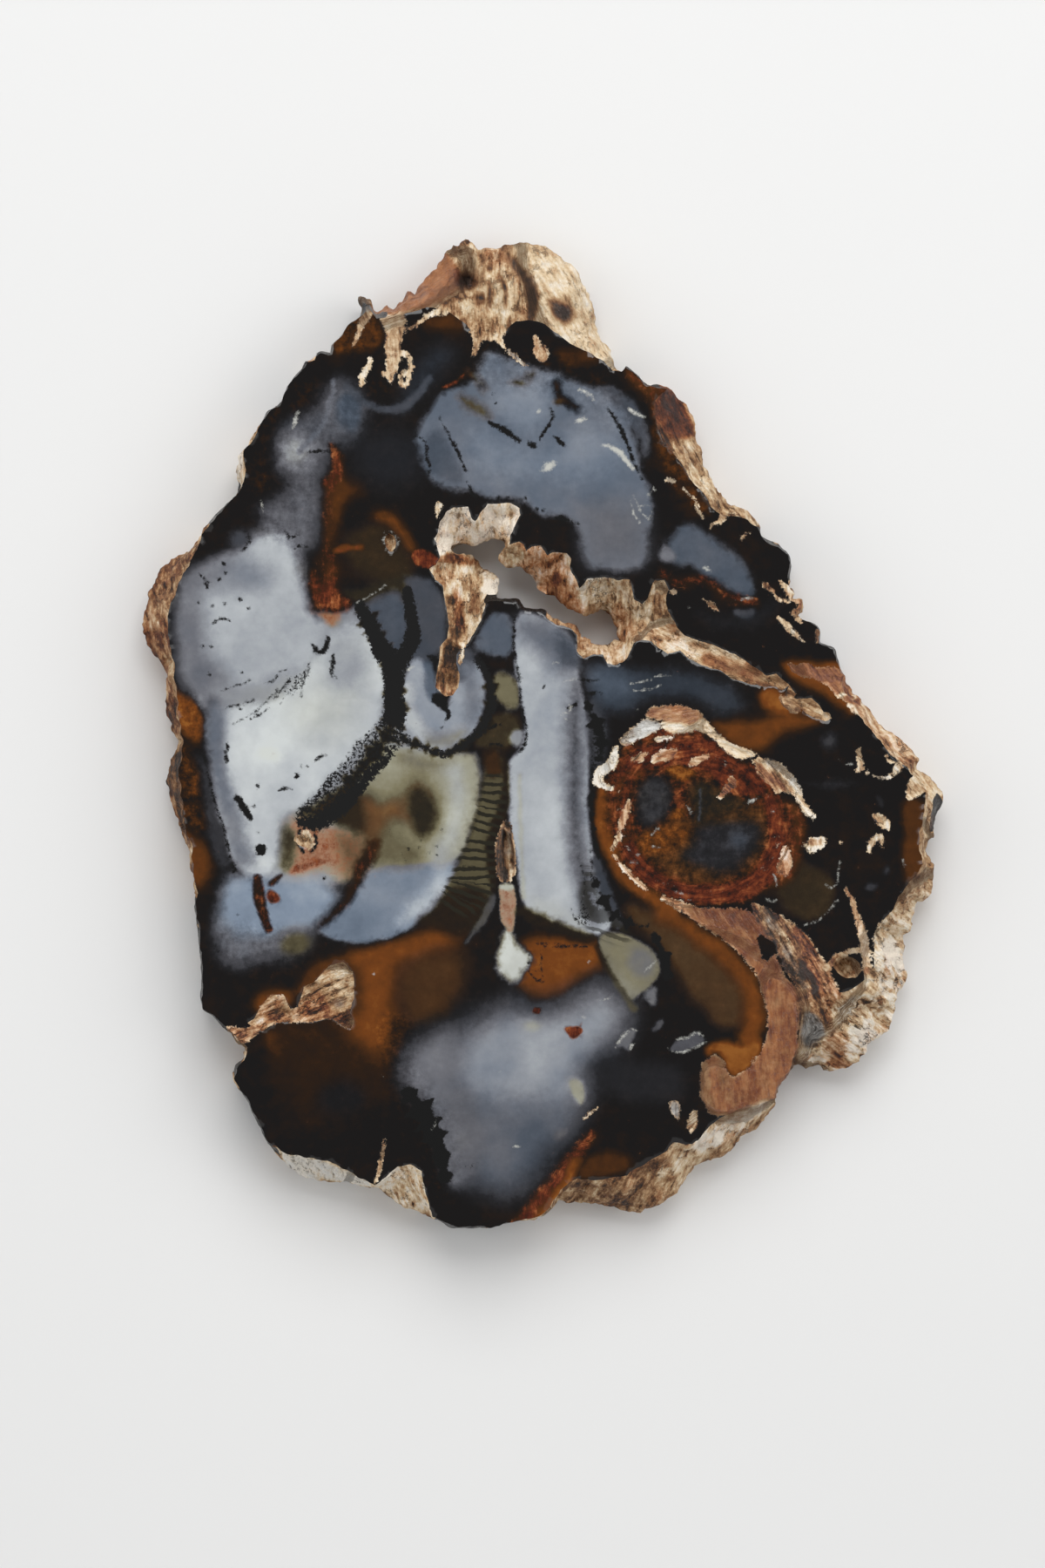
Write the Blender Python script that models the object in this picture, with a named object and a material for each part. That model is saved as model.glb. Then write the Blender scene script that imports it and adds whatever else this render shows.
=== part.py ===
"""A slab of petrified wood: one piece of stone, sawn across the trunk and polished on its front.

The slab lies on its sawn back, with the polished face up. X runs to the right of the face, Y towards the
rough knob at its top, and Z out of the polished face. The origin is at the middle of the slab's length and
width, on the plane of the back. The outlines below are in millimetres, as seen looking down on the face.
"""

import math
import random

import bpy
import bmesh
import numpy as np
from mathutils import Vector, noise
from mathutils.geometry import delaunay_2d_cdt

# Driving dimensions, in millimetres
THICKNESS = 11.0          # sawn back to polished face
WIDEST_HEIGHT = 4.3       # height of the slab's widest level above its back
WIDEST_WANDER = 1.7       # how far that level rises and falls round the slab
BACK_INSET = 1.1          # how far the back's edge lies inside the widest level
SHARP_EDGE_INSET = 0.5    # how far a bare edge flares out below the polished face
EDGE_CHIP = 0.14          # how far small chips move the edge of the polish
LONGEST_SEGMENT = 1.45    # outlines are divided until no segment is longer
CRUST_SPACING = 1.5       # distance between the points on a crusted surface
CRUST_CLEARANCE = 0.55    # nearest that such a point comes to an outline
CRUST_RECESS = 0.8        # how far crusted ground lies below the polish
CRUST_BUMP = 0.32         # height of the lumps on it
HOLE_SLOPE = 1.35         # how steeply the crust falls towards the hole
HOLE_LIP_DROP = 1.1       # drop from the polish to the hole's narrowest level at a bare edge
HOLE_DEEPEST_LIP = 7.2    # drop from the polish to that level below the widest crust
HOLE_BACK_FLARE = 0.6     # how much the hole opens again towards the back
BACK_SOFTENING = 8        # rounds of averaging that take the sharp corners off the back's edge
HOLE_SOFTENING = 5        # the same for the hole's edge in the back

MILLIMETRE = 0.001
NOISE_SEED_OFFSET = Vector((17.3, 5.1, 9.7))

# How far out each level of the wall lies: 0 is the edge of the polish, 1 the widest level
UPPER_LEVELS = (0.0, 0.18, 0.40, 0.66, 0.88, 1.0)
# How far down each level under the widest one lies: 1 is the back
LOWER_LEVELS = (0.5, 1.0)
# The same for the wall of the hole, under its narrowest level
HOLE_LEVELS = (0.35, 0.7, 1.0)


class Stretch:
    """One stretch of the slab's edge, anticlockwise seen from above.

    outer is the line of the widest level. inner is the edge of the polish beside it, or None where the
    edge is bare stone that drops almost straight down. dome is 1 for a straight slope between the two, and
    larger where the surface stays high before it falls. rough is the depth of the ridges in the wall.
    """

    def __init__(self, name, outer, inner=None, dome=1.0, rough=0.25):
        self.name = name
        self.outer = outer
        self.inner = inner
        self.dome = dome
        self.rough = rough


EDGE = (
    Stretch("knob, left flank", (
        (-15.2, 67.5), (-17.0, 65.5), (-18.5, 63.3), (-19.6, 63.8), (-20.2, 62.6), (-21.8, 61.2),
        (-22.6, 61.9), (-23.6, 60.9), (-24.3, 60.8)), (
        (-13.5, 60.4), (-16.0, 61.2), (-18.0, 60.5), (-20.0, 60.0), (-22.0, 59.6), (-24.0, 59.4)),
        dome=1.5, rough=0.5),
    Stretch("small spur", (
        (-24.3, 60.8), (-25.0, 62.5), (-26.6, 63.0), (-26.2, 61.5), (-26.6, 60.1)), (
        (-24.0, 59.4), (-24.9, 61.0), (-25.6, 61.6), (-25.5, 60.6), (-26.0, 59.8)), rough=0.1),
    Stretch("upper left, bare", (
        (-26.6, 60.1), (-28.4, 58.8), (-29.2, 57.5), (-30.5, 56.0), (-30.7, 54.8),
        (-32.2, 55.0), (-33.3, 54.0), (-34.3, 53.6), (-34.8, 52.6), (-36.0, 51.3), (-37.0, 50.0),
        (-37.7, 48.4), (-38.3, 47.3), (-39.8, 46.5), (-40.6, 45.2), (-41.6, 43.5), (-42.5, 41.9),
        (-44.0, 40.0))),
    Stretch("upper left, thin rind", (
        (-44.0, 40.0), (-44.4, 38.0), (-44.0, 36.4), (-44.3, 34.8)), (
        (-43.2, 39.7), (-42.7, 38.2), (-42.9, 36.6), (-43.6, 34.6)), rough=0.3),
    Stretch("left shoulder, bare", (
        (-44.3, 34.8), (-45.5, 33.4), (-47.3, 31.6), (-48.6, 29.8), (-50.0, 27.6))),
    Stretch("left rind, upper part", (
        (-50.0, 27.6), (-51.2, 26.1), (-53.0, 25.4), (-54.7, 24.0), (-56.0, 21.7), (-57.0, 19.5),
        (-57.6, 17.2), (-57.8, 15.0), (-57.3, 13.2), (-56.3, 11.6), (-54.8, 10.2)), (
        (-49.4, 27.2), (-50.8, 24.6), (-52.2, 22.0), (-53.2, 19.5), (-54.0, 17.0), (-54.0, 15.0),
        (-53.6, 12.5), (-53.0, 10.0)), dome=1.3, rough=0.5),
    Stretch("left rind, lower part", (
        (-54.8, 10.2), (-54.3, 8.2), (-54.5, 6.0), (-54.3, 3.0), (-53.7, 0.5), (-52.6, -1.0),
        (-52.8, -2.3), (-53.8, -4.2), (-54.4, -6.4), (-53.8, -9.0), (-53.0, -12.0), (-52.0, -14.8),
        (-50.8, -17.8)), (
        (-53.0, 10.0), (-52.8, 5.0), (-52.0, 0.0), (-51.6, -1.5), (-52.4, -5.0), (-52.2, -8.0),
        (-51.5, -12.0), (-50.8, -15.0), (-50.1, -17.6)), rough=0.35),
    Stretch("lower left, bare", (
        (-50.8, -17.8), (-50.5, -21.0), (-50.0, -23.0), (-50.3, -25.0), (-49.9, -28.0), (-49.6, -31.5),
        (-49.4, -35.0), (-49.6, -38.3), (-49.2, -39.8), (-47.5, -41.0), (-46.0, -42.6))),
    Stretch("mouth of the crack", (
        (-46.0, -42.6), (-44.6, -43.6), (-43.9, -44.8), (-43.1, -45.3), (-43.3, -46.8), (-44.5, -47.9)),
        rough=0.4),
    Stretch("bottom left, bare", (
        (-44.5, -47.9), (-44.8, -49.6), (-43.8, -51.5), (-42.5, -53.5), (-41.3, -56.2), (-40.0, -59.0))),
    Stretch("white slope", (
        (-40.0, -59.0), (-38.9, -60.3), (-37.7, -61.5), (-36.5, -62.8), (-34.5, -63.9), (-32.0, -64.4),
        (-28.0, -65.0), (-24.2, -65.6)), (
        (-39.4, -58.8), (-37.0, -60.2), (-34.0, -60.9), (-31.0, -61.5), (-28.0, -62.8), (-26.0, -64.0),
        (-24.2, -65.0)), rough=0.2),
    Stretch("cream tuft", (
        (-24.2, -65.6), (-22.0, -67.0), (-19.8, -68.4), (-17.0, -69.4), (-16.1, -69.9)), (
        (-24.2, -65.0), (-22.0, -63.2), (-20.0, -61.5), (-17.5, -62.5), (-16.9, -66.0), (-16.1, -69.2)),
        dome=1.2, rough=0.45),
    Stretch("bottom, bare", (
        (-16.1, -69.9), (-15.0, -70.3), (-13.5, -71.2), (-10.5, -71.4), (-7.5, -71.3), (-4.0, -70.6),
        (-1.0, -69.9), (0.8, -68.8))),
    Stretch("bottom rind", (
        (0.8, -68.8), (2.3, -67.4), (3.3, -67.9), (4.5, -67.5), (6.5, -67.6), (8.0, -68.0),
        (10.5, -68.9), (14.0, -69.0), (15.5, -68.5), (17.5, -67.2), (19.2, -66.2), (20.0, -65.0),
        (20.8, -63.8), (22.0, -62.3), (24.2, -61.6), (26.0, -60.8), (27.5, -59.3), (29.0, -57.8),
        (30.5, -57.0), (32.0, -55.5), (33.2, -53.8), (33.5, -52.5)), (
        (1.0, -68.0), (2.3, -65.5), (4.7, -63.8), (7.5, -64.2), (9.5, -63.8), (12.0, -63.6),
        (13.2, -62.7), (14.5, -61.8), (16.0, -61.0), (17.5, -60.0), (18.6, -58.7), (19.8, -58.9),
        (21.0, -59.2), (22.3, -58.4), (23.0, -57.2), (24.5, -56.0), (26.3, -54.8), (28.3, -53.7),
        (30.5, -52.9), (32.7, -52.0)), dome=1.4, rough=0.6),
    Stretch("caramel flank", (
        (33.5, -52.5), (34.0, -51.0), (35.0, -49.5), (36.0, -48.0), (36.2, -47.4))),
    Stretch("lower right rind", (
        (36.2, -47.4), (38.0, -48.3), (39.8, -47.9), (40.5, -48.6), (41.8, -48.8), (42.8, -48.4),
        (44.0, -48.3), (45.5, -47.2), (46.4, -46.0), (46.3, -45.0), (47.2, -44.2), (48.3, -43.8),
        (49.5, -42.8), (50.2, -41.5), (50.8, -39.5), (51.0, -37.5), (51.6, -36.5), (52.5, -35.2),
        (52.3, -34.0), (51.8, -32.5), (52.0, -31.0), (52.0, -29.2), (53.0, -28.5), (53.1, -26.5),
        (53.5, -25.0), (54.2, -23.9), (55.3, -24.0), (55.9, -23.0), (56.4, -21.0), (56.4, -19.0),
        (56.0, -18.5)), (
        (35.7, -46.9), (36.6, -44.0), (36.8, -41.0), (37.6, -38.4), (39.4, -37.0), (41.5, -37.3),
        (43.8, -37.0), (46.0, -35.6), (47.4, -33.5), (47.4, -30.8), (47.6, -28.6), (48.6, -27.2),
        (50.2, -25.5), (51.0, -23.5), (52.5, -21.5), (54.5, -18.8)), dome=1.5, rough=0.8),
    Stretch("right edge", (
        (56.0, -18.5), (55.3, -17.2), (55.7, -15.3), (56.4, -15.0), (56.6, -13.0), (56.8, -11.5),
        (57.3, -10.6), (57.6, -9.6), (57.3, -8.6), (56.3, -7.4), (55.8, -6.4), (54.8, -5.6),
        (53.9, -5.2), (54.0, -3.9)), (
        (54.5, -18.8), (53.9, -16.5), (54.3, -13.0), (54.8, -10.5), (55.0, -8.8), (54.0, -7.2),
        (52.8, -6.0), (52.2, -4.8)), rough=0.4),
    Stretch("right rind", (
        (54.0, -3.9), (53.2, -2.6), (52.3, -1.6), (51.5, -0.9), (50.2, 0.1), (49.0, 0.8), (48.2, 1.6),
        (47.2, 3.0), (46.0, 4.6), (44.8, 5.8), (43.9, 7.2), (43.6, 8.3)), (
        (52.2, -4.8), (50.2, -3.6), (49.0, -2.0), (47.0, 0.5), (45.3, 2.6), (43.4, 5.2), (42.7, 6.9),
        (42.9, 8.2)), dome=1.3, rough=0.5),
    Stretch("upper right, bare", (
        (43.6, 8.3), (43.0, 9.3), (42.6, 10.5), (42.0, 12.4), (41.5, 12.6), (40.0, 13.2), (40.0, 14.8),
        (39.5, 15.5), (38.5, 16.2), (37.4, 16.5), (36.6, 17.2), (37.3, 17.6), (37.4, 18.5),
        (37.0, 19.4), (36.0, 19.5), (36.2, 20.2), (35.5, 21.0), (35.6, 23.0), (35.8, 24.6),
        (35.4, 25.8), (34.0, 27.1), (32.5, 27.9), (31.6, 28.5), (31.3, 29.8)), rough=0.35),
    Stretch("upper right rind", (
        (31.3, 29.8), (30.5, 31.2), (29.5, 32.0), (27.5, 32.8), (26.5, 33.2), (25.7, 34.8),
        (25.0, 35.0), (24.3, 36.3), (23.5, 37.6), (22.9, 38.5), (22.7, 40.0), (22.6, 41.5),
        (22.0, 42.3), (21.9, 43.5), (21.5, 45.0), (21.1, 46.6), (20.6, 47.4), (19.7, 47.8),
        (19.0, 48.9), (17.8, 49.8)), (
        (30.6, 29.6), (29.0, 30.7), (26.0, 31.2), (24.2, 32.3), (23.2, 34.3), (21.6, 35.8),
        (20.5, 37.3), (19.8, 38.8), (18.0, 40.5), (17.0, 42.5), (16.2, 45.0), (16.0, 47.5),
        (16.8, 49.0)), dome=1.4, rough=0.6),
    Stretch("top right, bare", (
        (17.8, 49.8), (15.0, 50.2), (13.5, 51.7), (11.9, 53.0), (11.5, 52.2), (10.5, 52.6)), rough=0.4),
    Stretch("knob, pale lump", (
        (10.5, 52.6), (10.0, 54.0), (9.6, 55.3), (8.3, 56.8), (7.6, 58.5), (7.3, 60.8), (6.6, 63.2),
        (5.5, 65.2), (4.6, 67.2), (2.5, 68.8), (0.5, 70.0), (-2.5, 70.4), (-5.2, 70.5), (-7.0, 69.8)), (
        (9.9, 52.0), (8.6, 53.2), (6.8, 54.5), (4.0, 55.7), (2.0, 57.3), (0.0, 58.8), (-1.8, 59.2),
        (-4.0, 59.0), (-5.5, 57.6)), dome=2.2, rough=0.5),
    Stretch("knob, layered part", (
        (-7.0, 69.8), (-9.4, 69.8), (-10.2, 70.8), (-11.2, 71.2), (-12.3, 70.0), (-13.0, 70.4),
        (-14.3, 69.3), (-15.2, 67.5)), (
        (-5.5, 57.6), (-7.5, 56.7), (-9.5, 56.9), (-11.0, 58.6), (-13.5, 60.4)), dome=1.8, rough=0.9),
)

# The narrowest outline of the hole through the slab, clockwise from its left end
HOLE = (
    (-13.5, 26.3), (-13.2, 27.2), (-11.2, 27.5), (-10.2, 27.1), (-9.3, 27.6), (-7.5, 28.2), (-5.5, 28.1),
    (-5.5, 26.6), (-6.4, 25.7), (-6.2, 24.6), (-4.8, 24.0), (-3.3, 24.1), (-2.4, 23.4), (-1.5, 22.6),
    (-0.9, 21.6), (-0.2, 20.3), (0.6, 20.0), (1.7, 20.3), (2.3, 19.3), (3.6, 18.3), (4.8, 17.6),
    (6.3, 16.9), (7.3, 17.7), (8.4, 18.2), (9.6, 18.1), (10.1, 17.0), (10.3, 15.3), (10.9, 14.0),
    (11.3, 13.2), (10.3, 13.2), (8.9, 12.3), (7.3, 12.5), (6.7, 13.4), (5.3, 13.9), (5.1, 14.6),
    (4.2, 15.5), (3.2, 15.9), (1.9, 16.2), (0.9, 17.0), (0.0, 17.8), (-1.5, 17.8), (-3.0, 18.1),
    (-3.4, 19.0), (-4.0, 19.3), (-5.5, 19.3), (-7.0, 19.5), (-6.7, 20.6), (-6.6, 22.3), (-7.9, 23.2),
    (-9.0, 23.8), (-9.6, 24.9), (-10.4, 25.7), (-12.8, 25.7),
)

# The edge of the polish round the hole's crust: over the tufts, out along the vein and back below it, then
# along the bare lower lip, round the brown strip and up the yellow lump
HOLE_CRUST = (
    (-16.2, 27.2), (-15.3, 28.6), (-14.8, 30.4), (-14.0, 31.7), (-12.9, 32.3), (-10.8, 32.5),
    (-10.4, 31.0), (-9.8, 30.5), (-9.0, 31.5), (-8.0, 32.9), (-6.3, 32.8), (-4.6, 33.1), (-3.4, 32.3),
    (-3.2, 31.3), (-4.0, 29.9), (-4.8, 28.4), (-4.9, 27.0), (-3.5, 27.4), (-2.8, 27.0), (-2.5, 26.0),
    (-1.6, 26.7), (-0.4, 26.9), (0.3, 26.2), (0.6, 25.5), (1.3, 26.0), (1.9, 27.0), (2.6, 27.5),
    (3.2, 27.1), (3.4, 25.9), (3.9, 25.0), (3.8, 23.6), (4.7, 22.0), (5.2, 20.9), (6.3, 22.1),
    (7.6, 22.4), (9.3, 22.3), (10.5, 22.0), (12.4, 22.0), (12.8, 20.7), (13.1, 19.3), (14.2, 18.5),
    (14.9, 19.4), (15.4, 21.0), (16.0, 21.9), (17.3, 21.9), (17.9, 20.6), (17.6, 19.3), (17.9, 17.6),
    (18.5, 16.4), (19.5, 15.0), (20.3, 14.0), (22.0, 13.3), (24.3, 12.8), (26.0, 12.0), (27.6, 11.3),
    (29.6, 10.0), (31.0, 8.9), (32.0, 8.2), (33.4, 8.5), (34.8, 7.5), (35.8, 6.3), (36.9, 5.0),
    (38.5, 5.0), (39.3, 4.2), (40.2, 3.0), (41.8, 3.0), (42.6, 2.3), (40.5, 1.8), (39.0, 2.1),
    (37.6, 2.9), (36.2, 3.9), (34.8, 5.6), (33.5, 6.6), (31.0, 6.7), (29.4, 7.1), (27.0, 7.8),
    (25.6, 8.9), (22.7, 9.7), (21.0, 10.7), (19.6, 11.8), (17.8, 11.3), (16.6, 12.1), (15.6, 13.1),
    (14.2, 13.5), (13.0, 12.9), (12.4, 11.4), (11.4, 10.1), (10.4, 9.6), (9.2, 10.0), (8.6, 11.3),
    (7.3, 11.4), (5.8, 10.8), (4.9, 11.8), (4.8, 14.0), (4.0, 15.0), (3.0, 15.4), (1.7, 15.7),
    (0.6, 16.5), (-0.2, 17.3), (-1.6, 17.3), (-3.4, 17.7), (-3.9, 18.8), (-5.5, 18.8), (-7.4, 18.9),
    (-8.3, 18.5), (-8.8, 17.0), (-9.1, 15.8), (-10.0, 14.2), (-10.9, 13.0), (-11.8, 12.3),
    (-12.5, 11.2), (-12.5, 10.0), (-12.0, 8.5), (-12.1, 6.6), (-13.0, 5.4), (-15.0, 5.3),
    (-15.5, 6.6), (-15.3, 8.0), (-14.9, 10.0), (-14.9, 12.4), (-13.8, 13.6), (-13.4, 15.4),
    (-13.8, 17.0), (-14.0, 18.4), (-14.3, 19.8), (-14.5, 21.3), (-15.6, 22.0), (-17.2, 22.9),
    (-15.4, 24.2), (-14.7, 25.2), (-15.2, 26.2),
)

# The bottom of the narrow part of the vein, from the hole outwards
VEIN_BOTTOM = (
    (18.4, 13.6), (20.6, 12.5), (22.6, 11.4), (24.6, 10.9), (26.4, 9.9), (28.2, 9.0), (29.9, 8.4),
    (31.4, 7.7), (32.9, 7.6), (34.2, 6.9), (35.4, 5.6), (36.6, 4.3), (38.2, 3.7), (39.3, 2.9),
    (40.6, 2.4),
)

# The crusted crack that runs in from the lower left edge
CRACK_CRUST = (
    (-43.3, -42.2), (-41.6, -41.0), (-40.4, -39.2), (-39.2, -37.5), (-37.2, -37.7), (-36.4, -39.7),
    (-35.4, -40.0), (-34.9, -38.3), (-34.4, -36.4), (-32.5, -35.3), (-30.8, -33.4), (-28.8, -32.8),
    (-27.3, -34.2), (-27.2, -38.0), (-27.8, -40.2), (-26.6, -42.8), (-28.4, -42.2), (-30.5, -40.9),
    (-33.5, -41.4), (-36.0, -41.3), (-38.5, -41.6), (-40.4, -42.8), (-41.9, -44.3),
)

# Small pits in the polish: centre, half width, half length, turn in degrees and depth
PITS = {
    "slit in the comb": ((-5.1, -17.0), 0.9, 3.9, 4.0, 1.4),
    "white-rimmed pit": ((-22.0, 27.3), 0.8, 1.4, 12.0, 1.1),
    "crystal pit": ((-34.5, -15.5), 0.8, 1.5, 70.0, 0.9),
    "black pocket": ((43.6, -33.4), 1.6, 2.1, 60.0, 2.6),
}
PIT_SIDES = 9
PIT_FLOOR_SCALE = 0.5

# Lumps and hollows of the knob: centre, radius and height
KNOB_RELIEF = (
    ((1.6, 63.6), 4.2, 1.0),
    ((-11.2, 65.2), 1.7, -2.4),
    ((-6.6, 63.4), 1.9, 1.1),
    ((-2.8, 66.2), 1.4, -1.2),
    ((4.2, 59.0), 1.8, -0.9),
    ((-17.0, 62.6), 1.6, 0.8),
)

AGATE_COLOUR = (0.055, 0.040, 0.030, 1.0)
AGATE_ROUGHNESS = 0.28


def divided(points, closed):
    """Return the outline with every segment longer than LONGEST_SEGMENT cut into equal pieces."""
    result = []
    count = len(points) if closed else len(points) - 1
    for index in range(count):
        start = np.array(points[index])
        end = np.array(points[(index + 1) % len(points)])
        pieces = max(1, math.ceil(np.linalg.norm(end - start) / LONGEST_SEGMENT))
        for piece in range(pieces):
            result.append(start + (end - start) * piece / pieces)
    if not closed:
        result.append(np.array(points[-1]))
    return np.array(result)


def run_lengths(line):
    """Return how far along an open line each of its points lies, from 0 to 1."""
    steps = np.linalg.norm(np.diff(line, axis=0), axis=1)
    run = np.concatenate(([0.0], np.cumsum(steps)))
    return run / run[-1]


def at_fractions(points, fractions):
    """Return the points that lie at the given fractions of an open line's length."""
    line = np.array(points)
    run = run_lengths(line)
    columns = [np.interp(fractions, run, line[:, axis]) for axis in range(2)]
    return np.stack(columns, axis=1)


def outward_normals(loop, reach=2):
    """Return a unit normal for each point of an anticlockwise loop, averaged over its neighbours."""
    tangent = np.roll(loop, -reach, axis=0) - np.roll(loop, reach, axis=0)
    normal = np.stack((tangent[:, 1], -tangent[:, 0]), axis=1)
    return normal / np.linalg.norm(normal, axis=1, keepdims=True)


def softened(loop, rounds):
    """Return a closed loop with its corners rounded by averaging each point with its two neighbours."""
    for _ in range(rounds):
        loop = 0.5 * loop + 0.25 * (np.roll(loop, 1, axis=0) + np.roll(loop, -1, axis=0))
    return loop


def ridge_noise(point, height):
    """Return noise from -1 to 1: ridges that run down the wall, with broader lumps between them."""
    ridges = noise.noise(Vector((point[0] * 0.55, point[1] * 0.55, height * 0.14)) + NOISE_SEED_OFFSET)
    lumps = noise.noise(Vector((point[0] * 0.2, point[1] * 0.2, height * 0.36)) - NOISE_SEED_OFFSET)
    return 1.3 * ridges + 1.1 * lumps


def lump_noise(point, scale=0.45):
    """Return noise from -1 to 1 for the lumps of a crusted surface."""
    return noise.noise(Vector((point[0] * scale, point[1] * scale, 0.0)) + NOISE_SEED_OFFSET) * 2.0


def distance_to_loop(points, loop):
    """Return each point's distance to the nearest segment of a closed loop."""
    start = loop[None, :, :]
    along = (np.roll(loop, -1, axis=0) - loop)[None, :, :]
    offset = points[:, None, :] - start
    share = (offset * along).sum(axis=2) / np.maximum((along * along).sum(axis=2), 1e-9)
    nearest = offset - along * np.clip(share, 0.0, 1.0)[:, :, None]
    return np.sqrt((nearest * nearest).sum(axis=2)).min(axis=1)


def inside_loop(points, loop):
    """Tell for each point whether it lies inside a closed loop, by counting crossings to its right."""
    x, y = points[:, 0][:, None], points[:, 1][:, None]
    x0, y0 = loop[:, 0][None, :], loop[:, 1][None, :]
    after = np.roll(loop, -1, axis=0)
    x1, y1 = after[:, 0][None, :], after[:, 1][None, :]
    spans = (y0 > y) != (y1 > y)
    rise = np.where(np.abs(y1 - y0) < 1e-9, 1e-9, y1 - y0)
    crossing = x0 + (y - y0) / rise * (x1 - x0)
    return (spans & (x < crossing)).sum(axis=1) % 2 == 1


def lattice_inside(loops_in, loops_out, spacing, seed):
    """Return a shaken triangular lattice of points inside one set of loops and outside another."""
    shaker = random.Random(seed)
    everything = np.concatenate(loops_in)
    low, high = everything.min(axis=0), everything.max(axis=0)
    found = []
    row_height = spacing * math.sqrt(0.75)
    for row in range(int((high[1] - low[1]) / row_height) + 1):
        for column in range(int((high[0] - low[0]) / spacing) + 1):
            shift = 0.5 * spacing * (row % 2)
            x = low[0] + column * spacing + shift + shaker.uniform(-0.22, 0.22) * spacing
            y = low[1] + row * row_height + shaker.uniform(-0.22, 0.22) * spacing
            found.append((x, y))
    points = np.array(found)
    keep = np.ones(len(points), dtype=bool)
    for loop in loops_in:
        keep &= inside_loop(points, loop) & (distance_to_loop(points, loop) > CRUST_CLEARANCE)
    for loop in loops_out:
        keep &= ~inside_loop(points, loop) & (distance_to_loop(points, loop) > CRUST_CLEARANCE)
    return points[keep]


def edge_lines():
    """Return the widest outline, the edge of the polish, and each point's dome and roughness."""
    outer, inner, domes, roughs, bare = [], [], [], [], []
    for stretch in EDGE:
        line = divided(stretch.outer, closed=False)
        fractions = run_lengths(line)[:-1]
        line = line[:-1]
        outer.append(line)
        if stretch.inner is None:
            inner.append(line)
        else:
            inner.append(at_fractions(stretch.inner, fractions))
        bare.append(np.full(len(line), stretch.inner is None))
        domes.append(np.full(len(line), stretch.dome))
        roughs.append(np.full(len(line), stretch.rough))
    outer, inner = np.concatenate(outer), np.concatenate(inner)
    bare = np.concatenate(bare)
    normals = outward_normals(outer)
    inner[bare] = inner[bare] - SHARP_EDGE_INSET * normals[bare]
    chips = np.array([ridge_noise(point, THICKNESS) for point in inner]) * EDGE_CHIP
    return outer, inner + normals * chips[:, None], np.concatenate(domes), np.concatenate(roughs)


def knob_height(point):
    """Return how far the knob's lumps and hollows raise the surface at a point."""
    height = 0.0
    for centre, radius, rise in KNOB_RELIEF:
        reach = math.dist(point, centre) / radius
        height += rise * math.exp(-reach * reach)
    return height


def wall_levels(outer, inner, domes, roughs):
    """Return the loops of the outer wall as lists of 3-D points, from the polish down to the back."""
    normals = outward_normals(outer)
    wander = [lump_noise(point, 0.1) for point in softened(outer, BACK_SOFTENING)]
    widest = WIDEST_HEIGHT + WIDEST_WANDER * np.clip(wander, -1.0, 1.0)
    levels = []
    for share in UPPER_LEVELS:
        loop = []
        for index, (far, near) in enumerate(zip(outer, inner)):
            height = THICKNESS - (THICKNESS - widest[index]) * share ** domes[index]
            flat = near + (far - near) * share
            swell = math.sin(math.pi * share)
            shift = roughs[index] * (ridge_noise(flat, height) - 0.8) * swell
            flat = flat + normals[index] * shift
            if 0.0 < share < 1.0:
                height += roughs[index] * lump_noise(flat, 0.3) + knob_height(flat)
                height = min(height, THICKNESS - 0.25)
            loop.append((flat[0], flat[1], height))
        levels.append(loop)
    for share in LOWER_LEVELS:
        soft = softened(outer, round(BACK_SOFTENING * share))
        soft_normals = outward_normals(soft, reach=4)
        heights = widest * (1.0 - share)
        ridges = np.array([ridge_noise(*place) - 0.7 for place in zip(soft, heights)]) * roughs * 0.6
        flat = soft + soft_normals * (ridges - BACK_INSET * share)[:, None]
        levels.append([(x, y, height) for (x, y), height in zip(flat, heights)])
    return levels


def hole_levels(hole, crust):
    """Return the loops of the hole's wall, from its narrowest level down to the back."""
    widths = distance_to_loop(hole, crust)
    lips = THICKNESS - np.clip(HOLE_SLOPE * widths + 0.6, HOLE_LIP_DROP, HOLE_DEEPEST_LIP)
    levels = [[(point[0], point[1], lip) for point, lip in zip(hole, lips)]]
    for share in HOLE_LEVELS:
        soft = softened(hole, round(HOLE_SOFTENING * share))
        # The hole's outline runs clockwise, so these normals point into the stone
        into_stone = -outward_normals(soft, reach=3)
        ridges = np.array([0.2 + 0.2 * ridge_noise(point, lip) for point, lip in zip(soft, lips)])
        flare = HOLE_BACK_FLARE * share + ridges * math.sin(math.pi * share)
        flat = soft + into_stone * flare[:, None]
        levels.append([(x, y, lip * (1.0 - share)) for (x, y), lip in zip(flat, lips)])
    return levels


def crust_heights(points, crust, hole=None):
    """Return the heights of points on crusted ground: a shallow recess that falls towards the hole."""
    from_polish = distance_to_loop(points, crust)
    depth = np.minimum(from_polish * 1.3, CRUST_RECESS)
    if hole is not None:
        from_hole = distance_to_loop(points, hole)
        share = from_polish / (from_polish + from_hole)
        lip_drop = np.clip(HOLE_SLOPE * (from_polish + from_hole) + 0.6, HOLE_LIP_DROP, HOLE_DEEPEST_LIP)
        depth += np.maximum(lip_drop - CRUST_RECESS, 0.0) * share ** 1.5
    bumps = np.array([lump_noise(point) for point in points]) * CRUST_BUMP
    return THICKNESS - np.maximum(depth - bumps, 0.15)


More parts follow.
